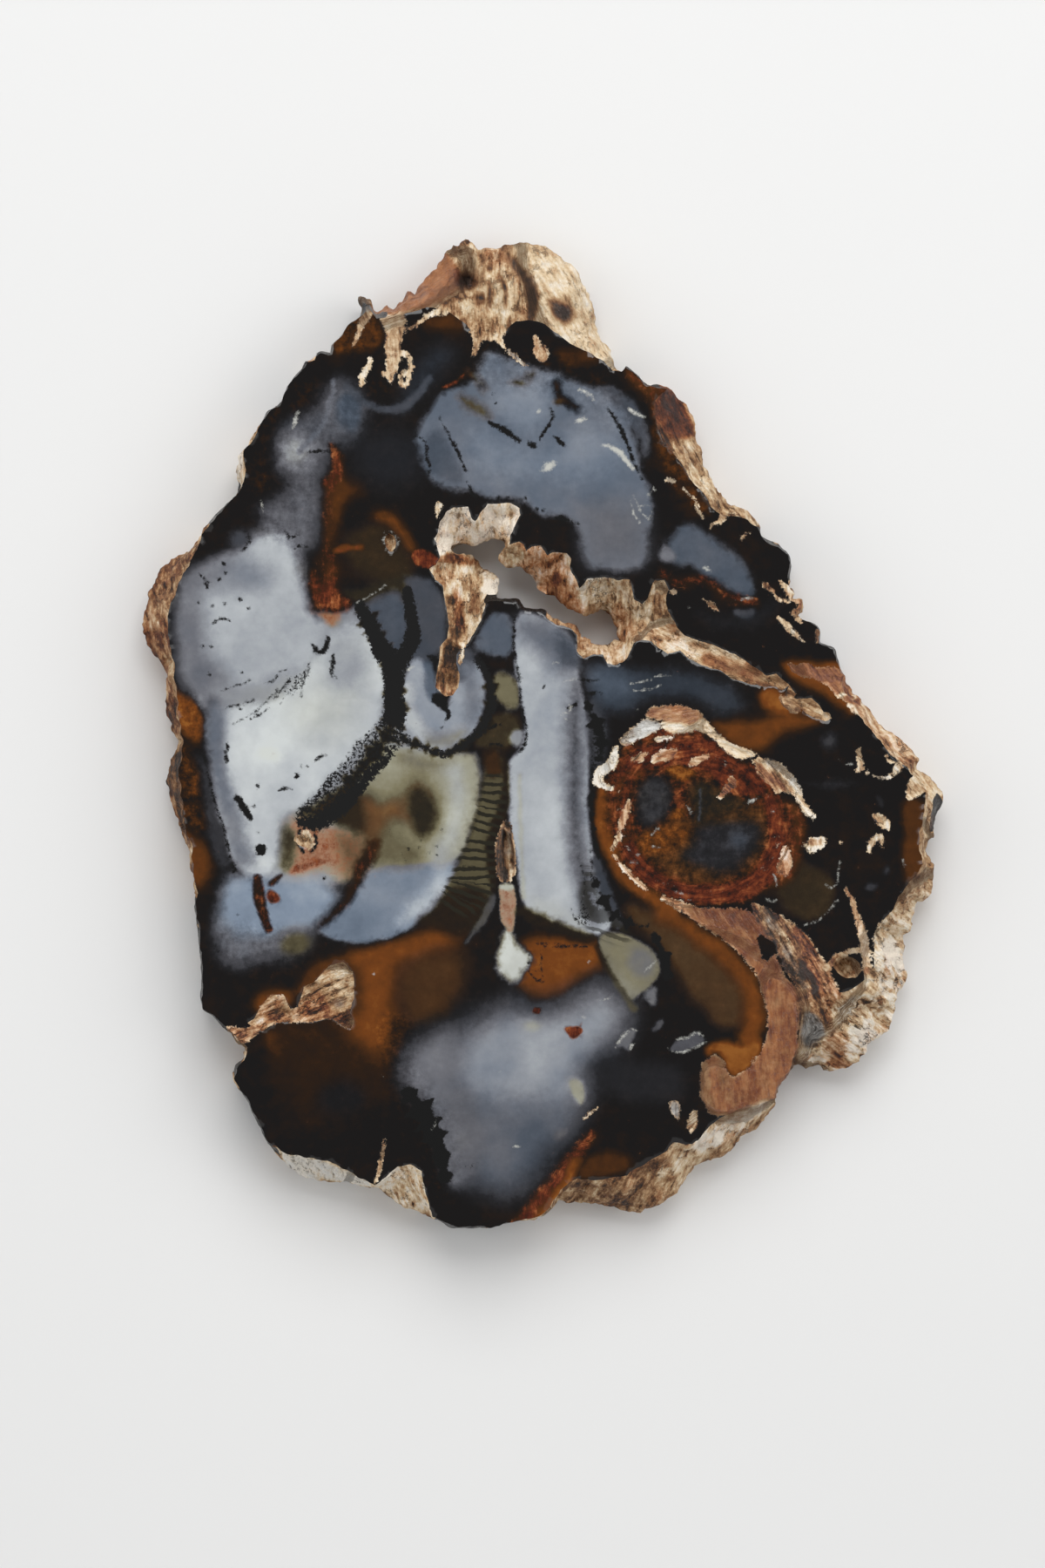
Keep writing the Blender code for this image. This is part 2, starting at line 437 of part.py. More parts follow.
def pit_rings(centre, half_width, half_length, turn, depth):
    """Return a pit's rim and floor rings as lists of 3-D points."""
    angle = math.radians(turn)
    rings = []
    for scale, drop in ((1.0, 0.0), (PIT_FLOOR_SCALE, depth)):
        ring = []
        for side in range(PIT_SIDES):
            around = 2.0 * math.pi * side / PIT_SIDES
            x = half_width * scale * math.cos(around)
            y = half_length * scale * math.sin(around)
            ring.append((centre[0] + x * math.cos(angle) - y * math.sin(angle),
                         centre[1] + x * math.sin(angle) + y * math.cos(angle),
                         THICKNESS - drop))
        rings.append(ring)
    return rings


class SlabMesh:
    """Collects the slab's points and faces, and keeps loops as lists of point numbers."""

    def __init__(self):
        self.points = []
        self.faces = []

    def add(self, points):
        """Add 3-D points and return their numbers."""
        first = len(self.points)
        self.points.extend(tuple(float(value) for value in point) for point in points)
        return list(range(first, len(self.points)))

    def add_band(self, upper, lower):
        """Join two loops of equal length with triangles, cutting each cell along its shorter diagonal."""
        for index in range(len(upper)):
            after = (index + 1) % len(upper)
            a, b, c, d = upper[index], lower[index], lower[after], upper[after]
            if math.dist(self.points[a], self.points[c]) <= math.dist(self.points[b], self.points[d]):
                self.faces += [(a, b, c), (a, c, d)]
            else:
                self.faces += [(a, b, d), (b, c, d)]

    def add_cap(self, loops, singles, border, openings, facing_up):
        """Fill the border loop with triangles through all the loops and single points inside it."""
        numbers = [number for loop in loops for number in loop] + list(singles)
        place = {number: index for index, number in enumerate(numbers)}
        flat = [Vector(self.points[number][:2]) for number in numbers]
        edges = []
        for loop in loops:
            edges += [(place[loop[i]], place[loop[(i + 1) % len(loop)]]) for i in range(len(loop))]
        corners, _, triangles, sources, _, _ = delaunay_2d_cdt(flat, edges, [], 0, 1e-6)
        if len(corners) != len(flat):
            raise ValueError("two outlines of the slab cross or touch")
        centres = np.array([[sum(corners[i][axis] for i in tri) / 3.0 for axis in range(2)]
                            for tri in triangles])
        outline = np.array([self.points[number][:2] for number in border])
        keep = inside_loop(centres, outline)
        for opening in openings:
            keep &= ~inside_loop(centres, np.array([self.points[number][:2] for number in opening]))
        for triangle, kept in zip(triangles, keep):
            if kept:
                face = [numbers[sources[index][0]] for index in triangle]
                self.faces.append(tuple(face if facing_up else reversed(face)))


def build_slab():
    """Work out the slab's points and faces, in millimetres."""
    slab = SlabMesh()
    outer, inner, domes, roughs = edge_lines()
    wall = [slab.add(loop) for loop in wall_levels(outer, inner, domes, roughs)]
    for upper, lower in zip(wall, wall[1:]):
        slab.add_band(upper, lower)

    hole = divided(HOLE, closed=True)
    hole_crust = divided(HOLE_CRUST, closed=True)
    crack_crust = divided(CRACK_CRUST, closed=True)
    hole_wall = [slab.add(loop) for loop in hole_levels(hole, hole_crust)]
    for upper, lower in zip(hole_wall, hole_wall[1:]):
        slab.add_band(upper, lower)

    crust_rims = [slab.add((x, y, THICKNESS) for x, y in rim) for rim in (hole_crust, crack_crust)]
    crust_points = []
    for rim, opening, seed in ((hole_crust, hole, 3), (crack_crust, None, 4)):
        flat = lattice_inside([rim], [] if opening is None else [opening], CRUST_SPACING, seed)
        if opening is hole:
            bottom = np.array(VEIN_BOTTOM)
            clear = [np.linalg.norm(bottom - point, axis=1).min() > CRUST_CLEARANCE for point in flat]
            flat = np.concatenate((flat[clear], bottom))
        heights = crust_heights(flat, rim, opening)
        crust_points += slab.add((x, y, z) for (x, y), z in zip(flat, heights))
    pit_loops = []
    for centre, half_width, half_length, turn, depth in PITS.values():
        pit_loops += [slab.add(ring) for ring in pit_rings(centre, half_width, half_length, turn, depth)]

    slab.add_cap([wall[0], hole_wall[0]] + crust_rims + pit_loops, crust_points,
                 border=wall[0], openings=[hole_wall[0]], facing_up=True)
    slab.add_cap([wall[-1], hole_wall[-1]], [],
                 border=wall[-1], openings=[hole_wall[-1]], facing_up=False)
    return slab


def centred(points):
    """Return the points in metres, with the middle of their box in X and Y on the origin."""
    metres = np.array(points) * MILLIMETRE
    middle = 0.5 * (metres.min(axis=0) + metres.max(axis=0))
    middle[2] = metres[:, 2].min()
    return metres - middle


def stone_material():
    """Make the plain dark agate finish."""
    material = bpy.data.materials.new("polished_agate")
    material.use_nodes = True
    shader = material.node_tree.nodes["Principled BSDF"]
    shader.inputs["Base Color"].default_value = AGATE_COLOUR
    shader.inputs["Roughness"].default_value = AGATE_ROUGHNESS
    shader.inputs["Metallic"].default_value = 0.0
    return material


def make_object(slab):
    """Put the slab into the scene as one closed mesh with its faces pointing out."""
    mesh = bpy.data.meshes.new("petrified_wood_slab")
    mesh.from_pydata(centred(slab.points).tolist(), [], slab.faces)
    shaped = bmesh.new()
    shaped.from_mesh(mesh)
    bmesh.ops.recalc_face_normals(shaped, faces=shaped.faces)
    shaped.to_mesh(mesh)
    shaped.free()
    mesh.materials.append(stone_material())
    block = bpy.data.objects.new("petrified_wood_slab", mesh)
    bpy.context.scene.collection.objects.link(block)
    return block


def main():
    """Clear the scene and build the slab."""
    for thing in list(bpy.data.objects):
        bpy.data.objects.remove(thing, do_unlink=True)
    make_object(build_slab())


main()
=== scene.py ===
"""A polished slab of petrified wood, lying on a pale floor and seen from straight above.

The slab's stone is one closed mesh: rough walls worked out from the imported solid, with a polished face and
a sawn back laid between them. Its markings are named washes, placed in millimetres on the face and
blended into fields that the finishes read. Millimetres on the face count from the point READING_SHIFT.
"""

import logging
import math
import re
from dataclasses import dataclass, field
from enum import Enum

import bmesh
import bpy
import numpy as np
from mathutils.geometry import delaunay_2d_cdt
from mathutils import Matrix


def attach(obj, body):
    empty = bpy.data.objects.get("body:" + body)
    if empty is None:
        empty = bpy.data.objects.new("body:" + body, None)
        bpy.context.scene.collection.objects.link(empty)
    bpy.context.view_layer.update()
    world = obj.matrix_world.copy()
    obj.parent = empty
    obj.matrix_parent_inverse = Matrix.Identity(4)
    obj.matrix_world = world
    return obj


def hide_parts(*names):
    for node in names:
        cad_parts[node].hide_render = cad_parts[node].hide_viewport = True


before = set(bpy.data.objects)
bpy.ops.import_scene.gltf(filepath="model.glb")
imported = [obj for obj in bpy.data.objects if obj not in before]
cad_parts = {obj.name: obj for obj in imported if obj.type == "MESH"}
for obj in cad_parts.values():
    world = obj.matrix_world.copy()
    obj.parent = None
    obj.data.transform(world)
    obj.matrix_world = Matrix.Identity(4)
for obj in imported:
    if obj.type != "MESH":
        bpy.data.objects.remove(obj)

NODE = "petrified_wood_slab"
LOG = logging.getLogger(NODE)
MILLIMETRE = 0.001
READING_SHIFT = np.array((0.1, 0.1))

Points = np.ndarray
Flat = np.ndarray
Size = float | tuple[float, float, float]


class Field(Enum):
    """The fields that describe the stone at each point of its surface."""

    MILK = "milk"        # 0 clear agate, 1 milky, above 1 nearly white
    WARMTH = "warmth"    # -1 blue, 0 lilac grey, 1 cream
    AMBER = "amber"      # 0 black, 1 bright amber, where there is little milk
    RUST = "rust"        # red-brown stain
    CRUST = "crust"      # millimetres beyond the nearest crust on the face
    BARE = "bare"        # 1 where the rough walls are glassy
    TINT = "tint"        # colour of the crust, from 0 white through cream and tan to 1 dark brown
    HUE = "hue"          # -1 grey crust, 0 tan, 1 red
    FEATHER = "feather"  # 0 smooth crust, 1 stranded, above 1 shaggy
    TURN = "turn"        # degrees from the length of the slab's width to the crust's strands
    ACROSS = "across"    # metres across the strands
    ALONG = "along"      # metres along the strands
    COMB = "comb"        # strength of the comb's bars
    PHASE = "phase"      # bars counted along the comb
    SOOT = "soot"        # 0 clean, 1 black with dendrites, scattered grains between
    FLECKS = "flecks"    # 0 none, 1 crowded crumbs of crust
    STIR = "stir"        # how mottled the clear stone is
    RAG = "rag"          # how ragged the milk's edge is here
    INK = "ink"          # millimetres beyond the nearest dark mark
    # the pale marks of the field below include painted glints
    CHALK = "chalk"      # millimetres beyond the nearest pale mark
    # the field below gives the crust painted shade where it is high
    HOLLOW = "hollow"    # 0 on a ridge, 1 deep in a hollow


# Noise

def scrambled(cells: np.ndarray, seed: int) -> np.ndarray:
    """Give each whole-number cell corner a fixed value from -1 to 1.

    The three coordinates are multiplied by large odd numbers, added, and mixed by shifts and products.

    Args:
        cells: whole numbers, one row of three for each corner.
        seed: a whole number that picks the pattern.

    Returns:
        One value for each row.
    """
    mask = 0xFFFFFFFF
    mixed = cells[:, 0] * 374761393 + cells[:, 1] * 668265263 + cells[:, 2] * 1442695041
    mixed = (mixed + seed * 974711) & mask
    mixed = ((mixed ^ (mixed >> 13)) * 1274126177) & mask
    mixed = ((mixed ^ (mixed >> 15)) * 2246822519) & mask
    mixed = mixed ^ (mixed >> 16)
    return mixed / float(0x7FFFFFFF) - 1.0


def cell_noise(points: Points, size: Size, seed: int) -> np.ndarray:
    """Blend the scrambled corner values of the cell that each point lies in, by 3t² - 2t³ along each axis.

    Args:
        points: one row of three millimetre coordinates for each point.
        size: the cell's size in millimetres, one number or one for each axis.
        seed: picks the pattern.

    Returns:
        One value from -1 to 1 for each point.
    """
    scaled = points / np.asarray(size, dtype=float)
    cell = np.floor(scaled).astype(np.int64)
    share = scaled - cell
    share = share * share * (3.0 - 2.0 * share)
    total = np.zeros(len(points))
    for corner in np.ndindex(2, 2, 2):
        weight = np.prod(np.where(np.array(corner, dtype=bool), share, 1.0 - share), axis=1)
        total += weight * scrambled(cell + np.array(corner), seed)
    return total


def layered_noise(points: Points, size: Size, layers: int, seed: int) -> np.ndarray:
    """Add layers of cell noise, each with half the cell size and half the weight of the one before.

    Returns:
        One value for each point, mostly between -1 and 1.
    """
    total = np.zeros(len(points))
    for layer in range(layers):
        shrink = 0.5 ** layer
        total += shrink * cell_noise(points, np.asarray(size, dtype=float) * shrink, seed + 31 * layer)
    return total / (2.0 - 0.5 ** (layers - 1))


def ridged(noise: np.ndarray) -> np.ndarray:
    """Fold noise into ridges: 1 where it crosses zero, falling to 0 on both sides."""
    return 1.0 - np.abs(noise)


def eased(value: np.ndarray, low: float, high: float) -> np.ndarray:
    """Rise smoothly from 0 at low to 1 at high, by 3t² - 2t³."""
    share = np.clip((value - low) / (high - low), 0.0, 1.0)
    return share * share * (3.0 - 2.0 * share)


def deep(flat: np.ndarray, height: float = 0.0) -> Points:
    """Add a constant third coordinate to flat points."""
    return np.column_stack((flat[:, :2], np.full(len(flat), height)))


# Shapes

def path(text: str) -> Flat:
    """Read flat points, in millimetres, from text such as '0,0 10,5'."""
    return np.array([[float(number) for number in pair.split(",")] for pair in text.split()])


def rounded(line: Flat, closed: bool, rounds: int = 2) -> Flat:
    """Cut the corners off a line: each segment gives the points at a quarter and three quarters of it."""
    for _ in range(rounds):
        after = np.roll(line, -1, axis=0) if closed else line[1:]
        start = line if closed else line[:-1]
        cut = np.stack((0.75 * start + 0.25 * after, 0.25 * start + 0.75 * after), axis=1).reshape(-1, 2)
        line = cut if closed else np.concatenate((line[:1], cut, line[-1:]))
    return line


def inside_edges(points: Flat, starts: Flat, ends: Flat) -> np.ndarray:
    """Tell which points lie inside the edges given, by counting the edges to the right of each point."""
    inside = np.zeros(len(points), dtype=bool)
    rise = ends[:, 1] - starts[:, 1]
    slope = (ends[:, 0] - starts[:, 0]) / np.where(np.abs(rise) < 1e-12, 1e-12, rise)
    for block in np.array_split(np.arange(len(points)), max(1, len(points) // 3000)):
        x, y = points[block, 0][:, None], points[block, 1][:, None]
        spans = (starts[None, :, 1] > y) != (ends[None, :, 1] > y)
        crossing = starts[None, :, 0] + (y - starts[None, :, 1]) * slope[None, :]
        inside[block] = (spans & (x < crossing)).sum(axis=1) % 2 == 1
    return inside


def nearest_on_line(points: Flat, line: Flat) -> tuple[np.ndarray, np.ndarray]:
    """Find each point's distance to a line and the length of line before the nearest place, both in mm."""
    steps = np.diff(line, axis=0)
    lengths = np.linalg.norm(steps, axis=1)
    run = np.concatenate(([0.0], np.cumsum(lengths)))
    best = np.full(len(points), np.inf)
    along_line = np.zeros(len(points))
    for index, (start, step) in enumerate(zip(line[:-1], steps)):
        offset = points - start
        along = np.clip(offset @ step / max(float(step @ step), 1e-12), 0.0, 1.0)
        gap = np.linalg.norm(offset - along[:, None] * step, axis=1)
        closer = gap < best
        best = np.where(closer, gap, best)
        along_line = np.where(closer, run[index] + along * lengths[index], along_line)
    return best, along_line


def near_box(points: Flat, low: np.ndarray, high: np.ndarray) -> np.ndarray:
    """Return the numbers of the points inside a box."""
    return np.flatnonzero(np.all((points > low) & (points < high), axis=1))


class Shape:
    """A flat shape that tells how far points lie beyond its edge."""

    soft: float

    def gap(self, points: Flat, reach: float) -> np.ndarray:
        """Return how far each point lies beyond the edge, negative inside it, from -reach to reach."""
        raise NotImplementedError

    def cover(self, points: Flat) -> np.ndarray:
        """Return 1 inside the shape, 0 outside it, and a smooth fall as wide as soft across its edge."""
        half = 0.5 * self.soft
        return eased(-self.gap(points, half), -half, half)


@dataclass(frozen=True)
class Patch(Shape):
    """A closed patch with rounded corners."""

    outline: str
    soft: float = 1.0

    def gap(self, points: Flat, reach: float) -> np.ndarray:
        """Measure to the outline, and turn the distance negative inside it."""
        line = rounded(path(self.outline), closed=True)
        result = np.full(len(points), reach)
        near = near_box(points, line.min(axis=0) - reach, line.max(axis=0) + reach)
        if len(near):
            distance, _ = nearest_on_line(points[near], np.concatenate((line, line[:1])))
            inside = inside_edges(points[near], line, np.roll(line, -1, axis=0))
            result[near] = np.clip(np.where(inside, -distance, distance), -reach, reach)
        return result


@dataclass(frozen=True)
class Stroke(Shape):
    """A brush stroke along a line. radii are spread evenly along it."""

    course: str
    radii: tuple[float, ...] = (0.5,)
    soft: float = 0.5

    def gap(self, points: Flat, reach: float) -> np.ndarray:
        """Measure to the line, less the radius there."""
        line = rounded(path(self.course), closed=False)
        margin = reach + self.widest()
        result = np.full(len(points), reach)
        near = near_box(points, line.min(axis=0) - margin, line.max(axis=0) + margin)
        if len(near):
            distance, along = nearest_on_line(points[near], line)
            length = np.linalg.norm(np.diff(line, axis=0), axis=1).sum()
            radius = np.interp(along / length, np.linspace(0.0, 1.0, len(self.radii)), self.radii)
            result[near] = np.clip(distance - self.grown(radius, along), -reach, reach)
        return result

    def widest(self) -> float:
        """Return the largest radius."""
        return max(self.radii)

    def grown(self, radius: np.ndarray, along: np.ndarray) -> np.ndarray:
        """Return the radius as it is."""
        return radius


@dataclass(frozen=True)
class Bristles(Stroke):
    """A stroke whose sides end in bristles: its radius jumps about along it."""

    bristle: float = 1.0
    pitch: float = 0.7

    def widest(self) -> float:
        """Return the largest radius with its bristles."""
        return max(self.radii) + self.bristle

    def grown(self, radius: np.ndarray, along: np.ndarray) -> np.ndarray:
        """Add noise that changes once in each pitch of the stroke's length."""
        place = np.column_stack((along / self.pitch, np.tile((0.5, self.pitch), (len(along), 1))))
        return radius + self.bristle * np.maximum(cell_noise(place, 1.0, 71), -0.2)


@dataclass(frozen=True)
class Oval(Shape):
    """An ellipse: centre, half width and half length, turned by an angle in degrees."""

    centre: tuple[float, float]
    half: tuple[float, float]
    turn: float = 0.0
    soft: float = 0.5

    def gap(self, points: Flat, reach: float) -> np.ndarray:
        """Scale the distance from the centre by the ellipse's own radius that way."""
        angle = math.radians(self.turn)
        offset = points - np.array(self.centre)
        across = offset[:, 0] * math.cos(angle) + offset[:, 1] * math.sin(angle)
        along = offset[:, 1] * math.cos(angle) - offset[:, 0] * math.sin(angle)
        ratio = np.hypot(across / self.half[0], along / self.half[1])
        return np.clip((ratio - 1.0) * min(self.half), -reach, reach)


class Kind(Enum):
    """Kinds of stone that a wash lays: the fields that its numbers set, and what it sets besides.

    SMOKE is thin warm milk over amber, AMBER clear agate that is black at 0, CRUST crust that reaches the
    polish, TINTED only the colour of the crust seen there, and WINDOW black agate in the crust.
    """

    MILK = ((Field.MILK, Field.WARMTH), {Field.AMBER: 0.0, Field.RUST: 0.0})
    SMOKE = ((Field.MILK, Field.AMBER), {Field.WARMTH: 1.0, Field.RUST: 0.0})
    AMBER = ((Field.AMBER,), {Field.MILK: 0.0, Field.RUST: 0.0})
    CRUST = ((Field.TINT, Field.HUE), {Field.CRUST: 1.0})
    TINTED = ((Field.TINT, Field.HUE), {})
    WINDOW = ((), {Field.CRUST: 0.0, Field.MILK: 0.0, Field.AMBER: 0.0, Field.RUST: 0.0})


def rows_of(text: str) -> list[str]:
    """Part text into rows. Lines that start with a space go on with the row above."""
    return [" ".join(row.split()) for row in re.split(r"\n(?=\S)", text.strip())]


def read_values(text: str) -> dict[Field, float]:
    """Read what a wash lays: words with numbers after them, first a kind of stone, then single fields."""
    values: dict[Field, float] = {}
    for word, numbers in re.findall(r"([a-z]+)([^a-z]*)", text):
        kind = Kind.__members__.get(word.upper())
        fields, besides = kind.value if kind else ((Field(word),), {})
        values.update(besides)
        values.update(zip(fields, map(float, numbers.split())))
    return values


def read_shape(sizes: str, course: str) -> Shape:
    """Read a shape from text.

    Args:
        sizes: the width of the soft edge, alone for a patch. For a stroke its radii follow, and then for
            bristles that word with their length and pitch. For an oval half width, half length and turn do.
        course: the corners of a patch, the points of a stroke or the centre of an oval.

    Returns:
        The shape.
    """
    plain, _, bristles = sizes.partition("bristles")
    soft, *more = map(float, plain.split())
    if bristles:
        return Bristles(course, tuple(more), soft, *map(float, bristles.split()))
    if not more:
        return Patch(course, soft)
    if " " not in course:
        return Oval(tuple(path(course)[0]), tuple(more[:2]), more[2] if more[2:] else 0.0, soft)
    return Stroke(course, tuple(more), soft)


@dataclass(frozen=True)
class Wash:
    """One layer of the markings: the values that fields take under a shape."""

    name: str
    values: dict[Field, float]
    shape: Shape

    @classmethod
    def read(cls, row: str) -> "Wash":
        """Read a row of name, values, sizes and course: 'arc: milk 0.5 -0.4; 0.9 0.5 0.7; -28,49 -23,46'."""
        name, rest = row.split(": ")
        laid, sizes, course = rest.split("; ")
        return cls(name, read_values(laid), read_shape(sizes, course))


def read_marks(text: str) -> tuple[Shape, ...]:
    """Read thin marks: each row has their sizes, a colon, and the courses of the marks of these sizes."""
    parted = (row.split(": ") for row in rows_of(text))
    return tuple(read_shape(f"1 {sizes}", course)
                 for sizes, courses in parted for course in courses.split("; "))


# The washes, in the order in which they are laid. Places are millimetres on the face.

# Amber and smoke in the clear stone
CLEAR_STONE = """
lower left amber: amber 0.84; 6; -27.3,-32.5 -24,-31.4 -19,-29.5 -13,-27.5 -11.5,-29 -14,-31.5 -19,-33.5
  -21,-37 -20.5,-41 -21.5,-47 -25.5,-47.7 -29,-44.5 -30,-41.5 -27.3,-40 -27,-37
amber under crescent: amber 0.86; 2.6 1 1.4 0.9; -27,-32.2 -20,-31 -14,-29 -11.5,-28.2
olive glass beside it: smoke 0.25 0.55; 4; -21,-33 -14,-31 -10.5,-31 -11,-36 -13,-39.5 -18,-42 -20.5,-40
amber over crack: amber 0.75; 1.8; -42,-38.5 -39.5,-37 -36,-36.5 -35.5,-39 -39,-40.5 -41.5,-40
amber under crack: amber 0.7; 2; -40,-43 -37.5,-41.7 -35.5,-42 -35.5,-45.5 -37.5,-46.5 -40,-45
amber at crack's tip: amber 0.6; 1.5; -36.5,-37 -34,-34 -31,-32.3 -27,-31.8 -27,-33 -31,-35 -34,-37.5
amber below column: amber 0.84; 2.5; -3,-29.5 2,-29 7,-29.5 9,-31 9.5,-33.5 6,-35.5 3,-38 -0.5,-38.3
  -3.5,-37 -4.5,-34 -3,-31.5
olive right of wedge: smoke 0.33 0.58; 2.5; 12,-24.5 16,-25.5 20,-28 24,-31 27.5,-34.5 29.5,-38 28.5,-42
  25,-42.5 23,-39.5 20.5,-37.5 18.5,-33 16,-29.5 13,-27.5
amber under caramel: amber 0.8; 2 1 1.3 1.6; 17,-25.8 22,-28.5 27,-32.5 30,-36.5 30.5,-40.5 29.5,-43.5
amber in fork: amber 0.95; 1.2; 22.8,-45 26,-44 29,-45 31.5,-43 31.5,-45.5 29.5,-48 27.3,-49.8 26.3,-48
  25,-45.8 23.3,-46.5
amber over knot: amber 0.72; 2; 24,2.3 28,2 31,2 34,2.8 38,2.5 41,2.3 38,0.8 34,0 31.5,-2.8 28,-2.5 26,-0.5
amber below vein: amber 0.88; 1.5; 30.5,5.5 33,6.8 36,4.5 38,3 34,2.4 31,3.2
brown shoulder: amber 0.8; 1.5; 34,10.4 38,10 42.3,10.5 43.8,8 44.5,6 46,4 44.2,2.2 42.5,3.8 40,5.4 37,7
  35,7.6
upper left edge: amber 0.5 stir 0.5; 1.5; -31.5,55.3 -29,58.3 -26.5,61 -24.5,60.5 -23,58 -23.5,55.5
  -26.5,54.7 -29,53.8
under knob: amber 0.55; 3; -17,60 -13,60.8 -11.5,59.5 -12,57.8 -15,57.6 -17,58.5
orange under knob: amber 0.95; 1; -9,60 -6.5,60 -5.5,58 -7,57 -9,58
brown under pale lump: amber 0.45; 1.5; 1,55.3 7.5,55.2 9,53.5 6,52.5 2,52.6
brown right shoulder: amber 0.5 rust 0.35; 1.2; 11.5,52.8 15,50.5 18.5,49.8 21,47 21.7,43.5 19.5,42.5 17,43
  15.7,45.5 15,48 12,50.5
brown glass, upper right: amber 0.42 rust 0.12 stir 0.5; 2.4; 15.2,45 18,43 20,40 21.5,36 24,32.5 22.5,31
  19,34.5 16.8,39
glass round rust: amber 0.6; 2.6; -31.3,37 -28.5,37.5 -26,36 -25,34.3 -27.5,34 -29,32 -29.3,29 -31.5,27
  -32.5,30 -32,34
orange arc: amber 0.75 rust 0.2; 1.8; -25,31.8 -22.5,32 -20,30 -18,27.5 -18.3,26 -20,27 -22.3,29.5
  -24.5,30.5
olive smoke: smoke 0.24 0.3; 3; -28,30 -22,30 -19,26 -18,22 -22,21.5 -26,22 -29,25
gold at left edge: amber 0.78 stir 0.4; 1.6; -54,7 -51,5.5 -49,4 -47.8,1.5 -48,-1 -49.5,-1.8 -51.5,-0.5
  -52.5,1.5 -54,3
amber at left edge: amber 0.7; 2.2; -52.5,-13 -49.4,-15 -47.7,-18 -48,-21.5 -50.5,-22.6 -52,-19
brown at left edge: amber 0.45; 1.2 0.9; -52.8,-4 -52.6,-9 -51.8,-13
rust band at bottom: amber 0.55 rust 0.75; 1.5 1.4 1.4 1.2 0.6; -3.5,-71 0,-66 3,-62.5 6.5,-57.5
tan band at bottom: amber 0.95; 1.2 1 1 0.5; -1,-71 1.5,-67.8 3.5,-63.5 4.5,-61.5
brown at bottom: amber 0.5; 1.5; 4,-63.5 6,-60.5 10,-59.5 13.5,-61 12,-63 7,-63.7
brown at right edge: amber 0.55; 1.5; 51.5,-9.5 54,-9 56.5,-11 56.5,-14.5 56.5,-17 54,-20.5 51.5,-22
  51.5,-19 52,-15
smoke right of knot: smoke 0.26 0.3; 1.2; 35,-17 38,-18.5 41,-20 42.3,-22.5 40.5,-26 37,-27.5 33.5,-24.5
  33,-22
rusty glass by knot: amber 0.5 rust 0.4; 1.5; 33.5,-9 36.5,-10 38,-13 37,-17 35.5,-21 33,-23 31.5,-21
  33.5,-16
faint brown, lower left: amber 0.27; 6; -40,-40 -30,-41 -25,-46 -22,-52 -30,-57 -38,-52
faint blue, bottom: milk 0.1 -0.8; 4; -33,-51 -28,-49 -24,-52 -27,-56 -33,-55
"""

